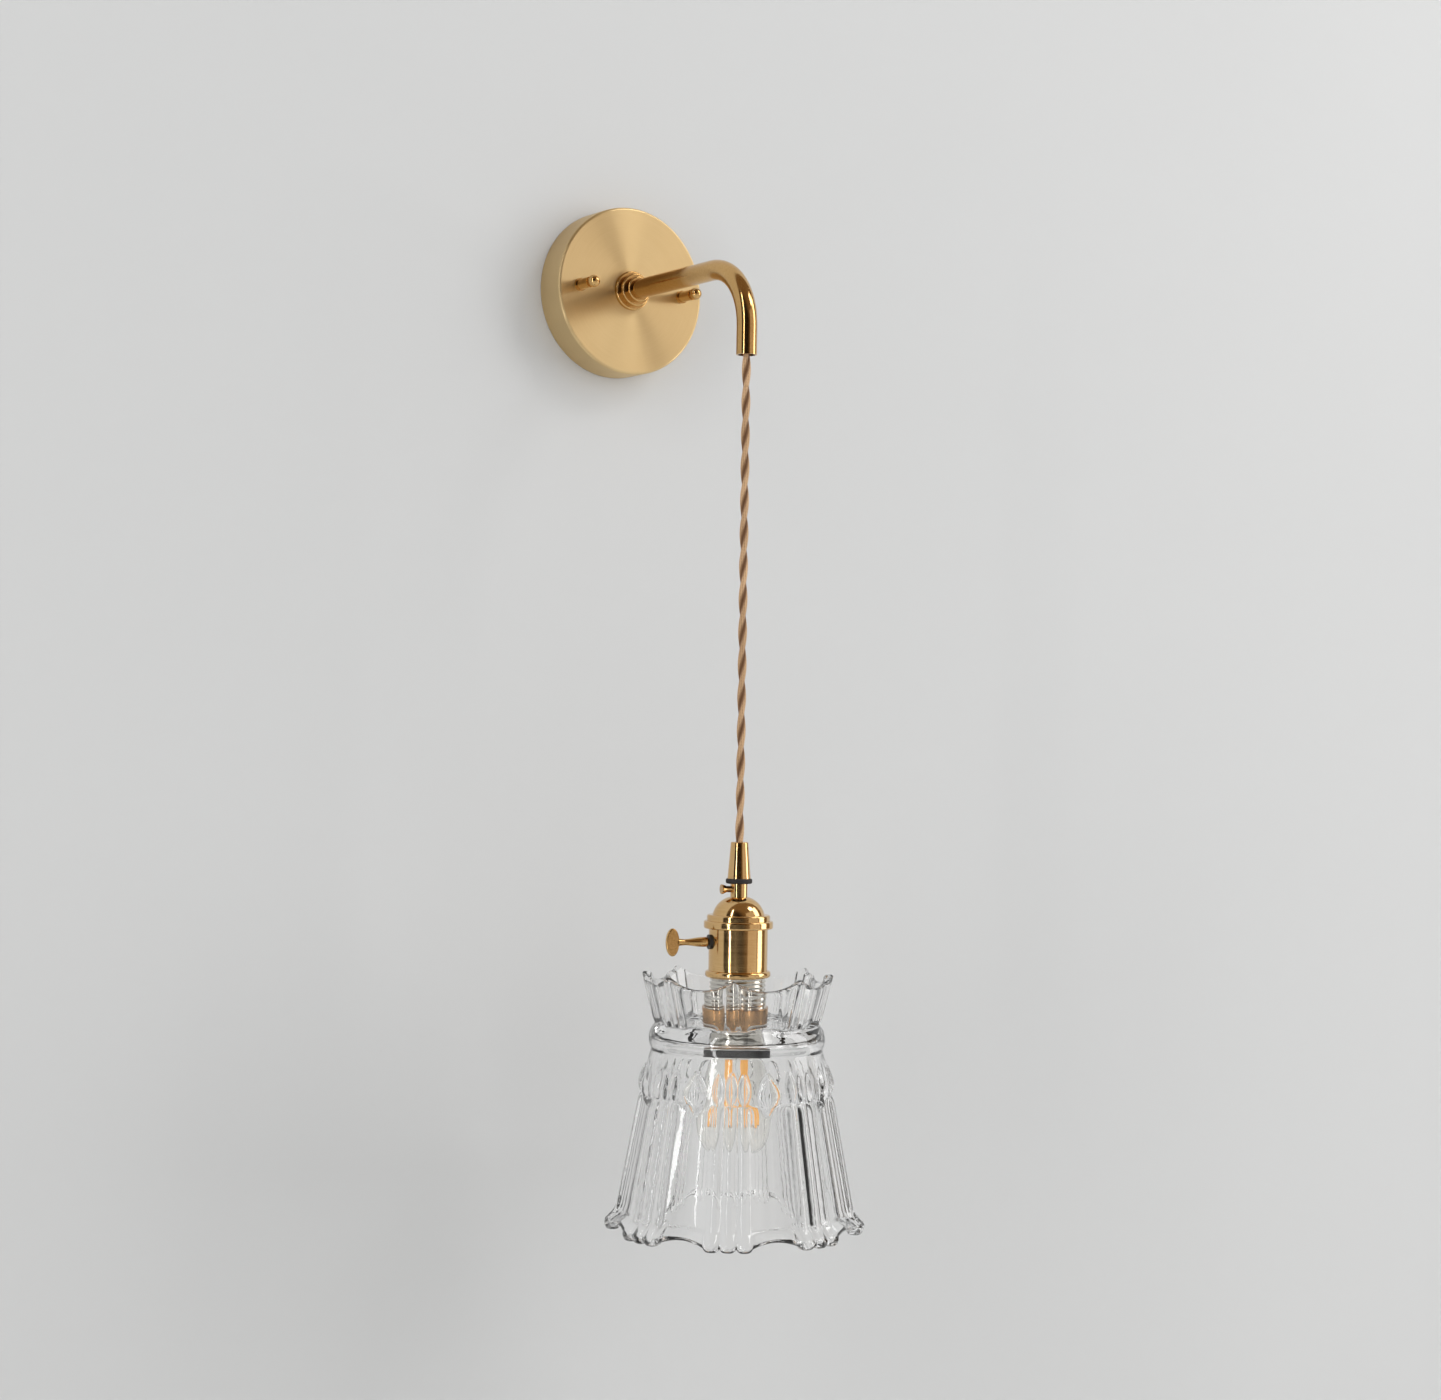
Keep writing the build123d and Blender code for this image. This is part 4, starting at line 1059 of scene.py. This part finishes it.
@dataclass
class ShadeCarrier:
    """Brass tube below the holder, threaded for the two shade rings."""

    top_z: float
    base_z: float
    crest_radius: float
    bore_radius: float
    thread_pitch: float = 0.0024
    thread_depth: float = 0.0007
    turn_steps: int = 64

    def build(self) -> None:
        """Wind the thread, cut it to length, close the tube and set it in the head."""
        form = bmesh.new()
        root = self.crest_radius - self.thread_depth
        tooth = [
            (root, 0.0), (self.crest_radius, 0.32), (self.crest_radius, 0.5), (root, 0.82), (root, 1.0)
        ]
        chain = [form.verts.new((r, 0.0, self.thread_pitch * share)) for r, share in tooth]
        for first, second in zip(chain, chain[1:]):
            form.edges.new((first, second))
        turns = math.ceil((self.top_z - self.base_z) / self.thread_pitch) + 3
        bmesh.ops.spin(
            form, geom=form.verts[:] + form.edges[:], cent=(0.0, 0.0, 0.0), axis=(0.0, 0.0, 1.0),
            dvec=(0.0, 0.0, self.thread_pitch / self.turn_steps), angle=math.tau * turns,
            steps=self.turn_steps * turns,
        )
        bmesh.ops.remove_doubles(form, verts=form.verts, dist=1e-6)
        bmesh.ops.translate(
            form, verts=form.verts, vec=(0.0, 0.0, self.base_z - 1.5 * self.thread_pitch)
        )
        rims = []
        for level, away in ((self.top_z, 1.0), (self.base_z, -1.0)):
            cut = bmesh.ops.bisect_plane(
                form, geom=form.verts[:] + form.edges[:] + form.faces[:],
                plane_co=(0.0, 0.0, level), plane_no=(0.0, 0.0, away), clear_outer=True,
            )["geom_cut"]
            rims.append([item for item in cut if isinstance(item, bmesh.types.BMEdge)])
        for rim, level in zip(rims, (self.top_z, self.base_z)):
            mouth = bmesh.ops.create_circle(
                form, segments=self.turn_steps, radius=self.bore_radius,
                matrix=Matrix.Translation((0.0, 0.0, level)),
            )["verts"]
            edges = list({edge for vert in mouth for edge in vert.link_edges})
            rim.extend(edges)
            bmesh.ops.bridge_loops(form, edges=rim)
        bore = [edge for edge in form.edges if edge.is_boundary]
        bmesh.ops.bridge_loops(form, edges=bore)
        bmesh.ops.translate(form, verts=form.verts, vec=LAMP_LINE)
        bmesh.ops.recalc_face_normals(form, faces=form.faces)
        tube = piece_from(form, "threaded_shade_carrier", CAP_NICKEL)
        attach(tube, "lamp_head")
        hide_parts("shade_carrier")


@dataclass
class WallFitting:
    """Canopy, bracket, arm and wiring, all fixed to the wall."""

    finishes: Mapping[str, Finish] = field(
        default_factory=lambda: {
            "canopy_cover": CANOPY_BRASS,
            "cap_nuts": ARM_BRASS,
            "arm_collar": ARM_BRASS,
            "arm_tube": ARM_BRASS,
            "mouth_bush": BLACK_PLASTIC,
            "arm_nipple": RAW_BRASS,
            "arm_lock_nut": RAW_BRASS,
            "arm_washer": ZINC_STEEL,
            "wall_bracket": ZINC_STEEL,
            "bracket_studs": ZINC_STEEL,
            "stud_nuts": ZINC_STEEL,
            "block_screw": ZINC_STEEL,
            "terminal_screws": ZINC_STEEL,
            "terminal_block": PALE_NYLON,
            "cord_gland": BLACK_PLASTIC,
            "feed_wires": WIRE_SHEATH,
        }
    )

    def dress(self, nodes: Nodes) -> None:
        """Dress the fixed pieces."""
        dress(nodes, self.finishes)


@dataclass
class LampHead:
    """Cord grip, keyed holder, shade clamp and lamp at the cord's lower end."""

    finishes: Mapping[str, Finish] = field(
        default_factory=lambda: {
            "cord_grip": HOLDER_BRASS,
            "grip_ring": DARK_RUBBER,
            "cap_bushing": HOLDER_BRASS,
            "set_screw": ARM_BRASS,
            "socket_cap": HOLDER_BRASS,
            "collar_ring": HOLDER_BRASS,
            "socket_shell": HOLDER_BRASS,
            "shade_ring_upper": DARK_RING_BRASS,
            "shade_ring_lower": BLACK_RING,
            "switch_key": ARM_BRASS,
            "key_bush": BLACK_PLASTIC,
            "switch_rotor": BLACK_PLASTIC,
            "socket_insert": PHENOLIC,
            "screw_shell": RAW_BRASS,
            "centre_contact": RAW_BRASS,
            "head_cord": WIRE_SHEATH,
            "gasket_upper": WASHER,
            "gasket_lower": WASHER,
            "bulb_cap": CAP_NICKEL,
            "bulb_insulator": BLACK_PLASTIC,
            "bulb_contact": CAP_NICKEL,
            "bulb_envelope": BULB_GLASS,
            "bulb_stem": BULB_GLASS,
            "bulb_filaments": FILAMENT_COAT,
            "filament_wires": CAP_NICKEL,
        }
    )

    def dress(self, nodes: Nodes) -> None:
        """Dress the hanging pieces; light passes the lamp's clear glass."""
        dress(nodes, self.finishes)
        nodes["bulb_envelope"].visible_shadow = False
        nodes["bulb_stem"].visible_shadow = False


@dataclass(frozen=True)
class SoftBox:
    """One large area light that looks at the lamp."""

    name: str
    place: Point
    aim: Point
    width: float
    height: float
    radiance: float
    through_glass: bool = True

    def build(self) -> None:
        """Hang the light."""
        data = bpy.data.lights.new(self.name, "AREA")
        data.shape = "RECTANGLE"
        data.size, data.size_y = self.width, self.height
        data.energy = self.radiance * math.pi * self.width * self.height
        light = bpy.data.objects.new(self.name, data)
        light.location = self.place
        heading = Vector(self.aim) - Vector(self.place)
        light.rotation_euler = heading.to_track_quat("-Z", "Y").to_euler()
        light.visible_camera = False
        light.visible_transmission = self.through_glass
        bpy.context.scene.collection.objects.link(light)


@dataclass(frozen=True)
class DarkSide:
    """A side of the room that stays unlit, fading out round one direction."""

    toward: Point
    fade: tuple[float, float]
    share: float

    def strength(
        self, tree: bpy.types.NodeTree, heading: bpy.types.NodeSocket
    ) -> bpy.types.NodeSocket:
        """Add the nodes that dim this side.

        Args:
            tree: The world's nodes.
            heading: The direction looked at.

        Returns:
            How strongly the room shines in that direction.
        """
        facing = tree.nodes.new("ShaderNodeVectorMath")
        facing.operation = "DOT_PRODUCT"
        facing.inputs[1].default_value = self.toward
        tree.links.new(heading, facing.inputs[0])
        dim = tree.nodes.new("ShaderNodeMapRange")
        dim.interpolation_type = "SMOOTHSTEP"
        for key, number in zip(
            ("From Min", "From Max", "To Min", "To Max"), (*self.fade, 1.0, self.share)
        ):
            dim.inputs[key].default_value = number
        tree.links.new(facing.outputs["Value"], dim.inputs["Value"])
        return dim.outputs["Result"]


@dataclass
class Studio:
    """Pale wall and floor, soft lights and the camera of the photograph."""

    camera_place: Point = (-0.8371, -1.3783, -0.27096)
    yaw: float = 33.806
    pitch: float = 0.682
    roll: float = 0.8266
    focal_pixels: float = 2581.0
    sensor: float = 36.0
    wall_gap: float = 0.0005
    wall_opening: float = 0.048
    wall_reach: float = 5.0
    floor_z: float = -2.0
    floor_lift: Colour = (0.20, 0.20, 0.197)
    paint: Colour = (0.665, 0.665, 0.66)
    boxes: tuple[SoftBox, ...] = (
        SoftBox("key_box", (2.95, -1.85, 0.6), (0.0, -0.1, -0.3), 1.4, 3.6, 3.3, False),
        SoftBox("front_box", (1.25, -3.05, 0.3), (0.0, -0.1, -0.3), 2.4, 2.8, 0.42),
        SoftBox("left_strip", (-2.1, -1.05, 0.2), (0.0, -0.1, -0.3), 0.16, 3.4, 10.6),
        SoftBox("top_box", (1.35, -1.6, 1.75), (0.0, -0.1, -0.1), 0.8, 0.7, 6.0),
        SoftBox("back_box", (0.4, 1.6, 0.5), (0.0, 0.0, -0.1), 1.4, 1.4, 1.6),
    )
    behind_camera: DarkSide = DarkSide((-0.82, -0.57, 0.0), (0.50, 0.86), 0.08)
    right_of_camera: DarkSide = DarkSide((0.6, -0.8, 0.0), (0.50, 0.78), 0.02)
    room_light: Colour = (0.60, 0.605, 0.61)
    room_gleam: Colour = (0.22, 0.145, 0.075)
    glass_light: Colour = (1.0, 1.0, 0.99)
    backdrop_light: Colour = (0.66, 0.66, 0.655)

    def camera(self) -> None:
        """Stand the camera where the photograph was taken from."""
        yaw, pitch, roll = (math.radians(a) for a in (self.yaw, self.pitch, self.roll))
        look = Vector(
            (math.sin(yaw) * math.cos(pitch), math.cos(yaw) * math.cos(pitch), math.sin(pitch))
        )
        level = Vector((math.cos(yaw), -math.sin(yaw), 0.0))
        upright = level.cross(look)
        right = math.cos(roll) * level + math.sin(roll) * upright
        up = math.cos(roll) * upright - math.sin(roll) * level
        data = bpy.data.cameras.new("photo_camera")
        data.sensor_fit = "HORIZONTAL"
        data.sensor_width = self.sensor
        data.lens = self.focal_pixels / PHOTO_WIDTH * self.sensor
        camera = bpy.data.objects.new("photo_camera", data)
        turn = Matrix((right, up, -look)).transposed().to_4x4()
        camera.matrix_world = Matrix.Translation(self.camera_place) @ turn
        bpy.context.scene.collection.objects.link(camera)
        bpy.context.scene.camera = camera

    def wall_paint(self) -> bpy.types.Material:
        """Matt wall paint that shows from the room side only.

        Returns:
            The material; seen from behind, the wall is clear.
        """
        sheet = NodeSheet("matt_wall_paint")
        spot = sheet.place((0.0, 0.0, 0.0))
        cloud = sheet.noise(spot, 2.5, 2.0)
        stipple = sheet.noise(spot, 900.0, 3.0)
        lower = tuple(0.985 * c for c in self.paint)
        sheet.join(
            sheet.tint(sheet.spread(cloud, (0.3, 0.7), 0.0, 1.0), lower, self.paint),
            sheet.shader.inputs["Base Color"],
        )
        sheet.join(sheet.spread(stipple, (0.3, 0.7), 0.8, 0.95), sheet.shader.inputs["Roughness"])
        sheet.shade(Specular_IOR_Level=0.15)
        sheet.bump(stipple, 0.15, 0.0001)
        clear = sheet.add("ShaderNodeBsdfTransparent")
        choose = sheet.add("ShaderNodeMixShader")
        geometry = sheet.add("ShaderNodeNewGeometry")
        sheet.join(geometry.outputs["Backfacing"], choose.inputs["Fac"])
        sheet.join(sheet.shader.outputs["BSDF"], choose.inputs[1])
        sheet.join(clear.outputs["BSDF"], choose.inputs[2])
        sheet.join(choose.outputs["Shader"], sheet.output.inputs["Surface"])
        return sheet.material

    def floor_paint(self) -> bpy.types.Material:
        """Pale floor, lifted to the wall's tone for the camera, the brass and the glass.

        Returns:
            The material, faintly clouded; it lights nothing more than plain paint does.
        """
        sheet = NodeSheet("pale_floor")
        cloud = sheet.noise(sheet.place((0.0, 0.0, 0.0)), 3.0, 3.0)
        sheet.join(
            sheet.tint(sheet.spread(cloud, (0.3, 0.7), 0.0, 1.0), (0.62, 0.62, 0.61), (0.65, 0.65, 0.64)),
            sheet.shader.inputs["Base Color"],
        )
        sheet.shade(Roughness=0.9)
        path = sheet.add("ShaderNodeLightPath")
        seen = path.outputs["Is Camera Ray"]
        for ray in ("Is Glossy Ray", "Is Transmission Ray"):
            seen = sheet.sum("MAXIMUM", seen, path.outputs[ray])
        lift = sheet.add("ShaderNodeEmission")
        lift.inputs["Color"].default_value = (*self.floor_lift, 1.0)
        sheet.join(seen, lift.inputs["Strength"])
        both = sheet.add("ShaderNodeAddShader")
        sheet.join(sheet.shader.outputs["BSDF"], both.inputs[0])
        sheet.join(lift.outputs["Emission"], both.inputs[1])
        sheet.join(both.outputs["Shader"], sheet.output.inputs["Surface"])
        return sheet.material

    def backdrop(self) -> None:
        """Lay the floor and stand the wall, which is open behind the canopy."""
        form = bmesh.new()
        inner = bmesh.ops.create_circle(form, segments=96, radius=self.wall_opening)["verts"]
        edges = list({edge for vert in inner for edge in vert.link_edges})
        grown = bmesh.ops.extrude_edge_only(form, edges=edges)["geom"]
        bmesh.ops.scale(
            form, vec=(self.wall_reach / self.wall_opening,) * 3,
            verts=[item for item in grown if isinstance(item, bmesh.types.BMVert)],
        )
        bmesh.ops.rotate(
            form, verts=form.verts, cent=(0.0, 0.0, 0.0), matrix=Matrix.Rotation(math.pi / 2.0, 3, "X")
        )
        bmesh.ops.translate(form, verts=form.verts, vec=(0.0, self.wall_gap, 0.0))
        for face in form.faces:
            face.normal_update()
        if form.faces[:][0].normal.y > 0.0:
            bmesh.ops.reverse_faces(form, faces=form.faces)
        self.stage_piece(form, "wall", self.wall_paint())
        form = bmesh.new()
        bmesh.ops.create_grid(form, x_segments=1, y_segments=1, size=12.0)
        bmesh.ops.translate(form, verts=form.verts, vec=(0.0, 0.0, self.floor_z))
        self.stage_piece(form, "floor", self.floor_paint())

    @staticmethod
    def stage_piece(form: bmesh.types.BMesh, name: str, material: bpy.types.Material) -> None:
        """Add a piece of the set, which isn't part of the lamp.

        Args:
            form: Its mesh. It is freed.
            name: Its name.
            material: What it is painted with.
        """
        mesh = bpy.data.meshes.new(name)
        form.to_mesh(mesh)
        form.free()
        mesh.materials.append(material)
        piece = bpy.data.objects.new(name, mesh)
        bpy.context.scene.collection.objects.link(piece)

    def surroundings(self) -> None:
        """Even room light on matt things, and a room with dark sides for brass and glass."""
        world = bpy.data.worlds.new("studio_room")
        world.use_nodes = True
        tree = world.node_tree
        tree.nodes.clear()
        path = tree.nodes.new("ShaderNodeLightPath")
        heading = tree.nodes.new("ShaderNodeTexCoord").outputs["Generated"]
        base = tree.nodes.new("ShaderNodeBackground")
        base.inputs["Color"].default_value = (*self.room_light, 1.0)
        shown = base.outputs["Background"]
        for ray, colour, dark_side in (
            ("Is Glossy Ray", self.room_gleam, self.behind_camera),
            ("Is Transmission Ray", self.glass_light, self.right_of_camera),
            ("Is Camera Ray", self.backdrop_light, None),
        ):
            light = tree.nodes.new("ShaderNodeBackground")
            light.inputs["Color"].default_value = (*colour, 1.0)
            if dark_side:
                tree.links.new(dark_side.strength(tree, heading), light.inputs["Strength"])
            mix = tree.nodes.new("ShaderNodeMixShader")
            tree.links.new(path.outputs[ray], mix.inputs["Fac"])
            tree.links.new(shown, mix.inputs[1])
            tree.links.new(light.outputs["Background"], mix.inputs[2])
            shown = mix.outputs["Shader"]
        output = tree.nodes.new("ShaderNodeOutputWorld")
        tree.links.new(shown, output.inputs["Surface"])
        bpy.context.scene.world = world

    def build(self) -> None:
        """Set up the whole studio."""
        bpy.context.scene.view_settings.view_transform = "Standard"
        self.camera()
        self.surroundings()
        self.backdrop()
        for box in self.boxes:
            box.build()


def clear_scene() -> None:
    """Remove whatever the new file starts with."""
    for thing in list(bpy.data.objects):
        bpy.data.objects.remove(thing)


def main() -> None:
    """Build the lamp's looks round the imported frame, and the studio round the lamp."""
    logging.basicConfig(level=logging.INFO, format="%(name)s: %(message)s")
    clear_scene()
    nodes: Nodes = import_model()["nodes"]
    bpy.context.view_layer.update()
    Studio().build()
    cord_low, cord_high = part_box("cord_main")
    TwistedCord(
        start_y=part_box("arm_cord")[1].y,
        grip_end_z=cord_low.z,
        diameter=cord_high.x - cord_low.x,
        mouth_z=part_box("arm_tube")[0].z,
    ).build()
    glass_low, glass_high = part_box("glass_shade")
    carrier_low, carrier_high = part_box("shade_carrier")
    GlassShade(
        floor_z=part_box("gasket_upper")[0].z,
        floor_thick=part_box("gasket_upper")[0].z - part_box("gasket_lower")[1].z,
        rim_z=glass_high.z,
        tail_z=glass_low.z,
        hole_radius=0.0170,
    ).build()
    ShadeCarrier(
        top_z=carrier_high.z,
        base_z=carrier_low.z,
        crest_radius=(carrier_high.x - carrier_low.x) / 2.0,
        bore_radius=0.0146,
    ).build()
    WallFitting().dress(nodes)
    LampHead().dress(nodes)


if __name__ == "__main__":
    main()
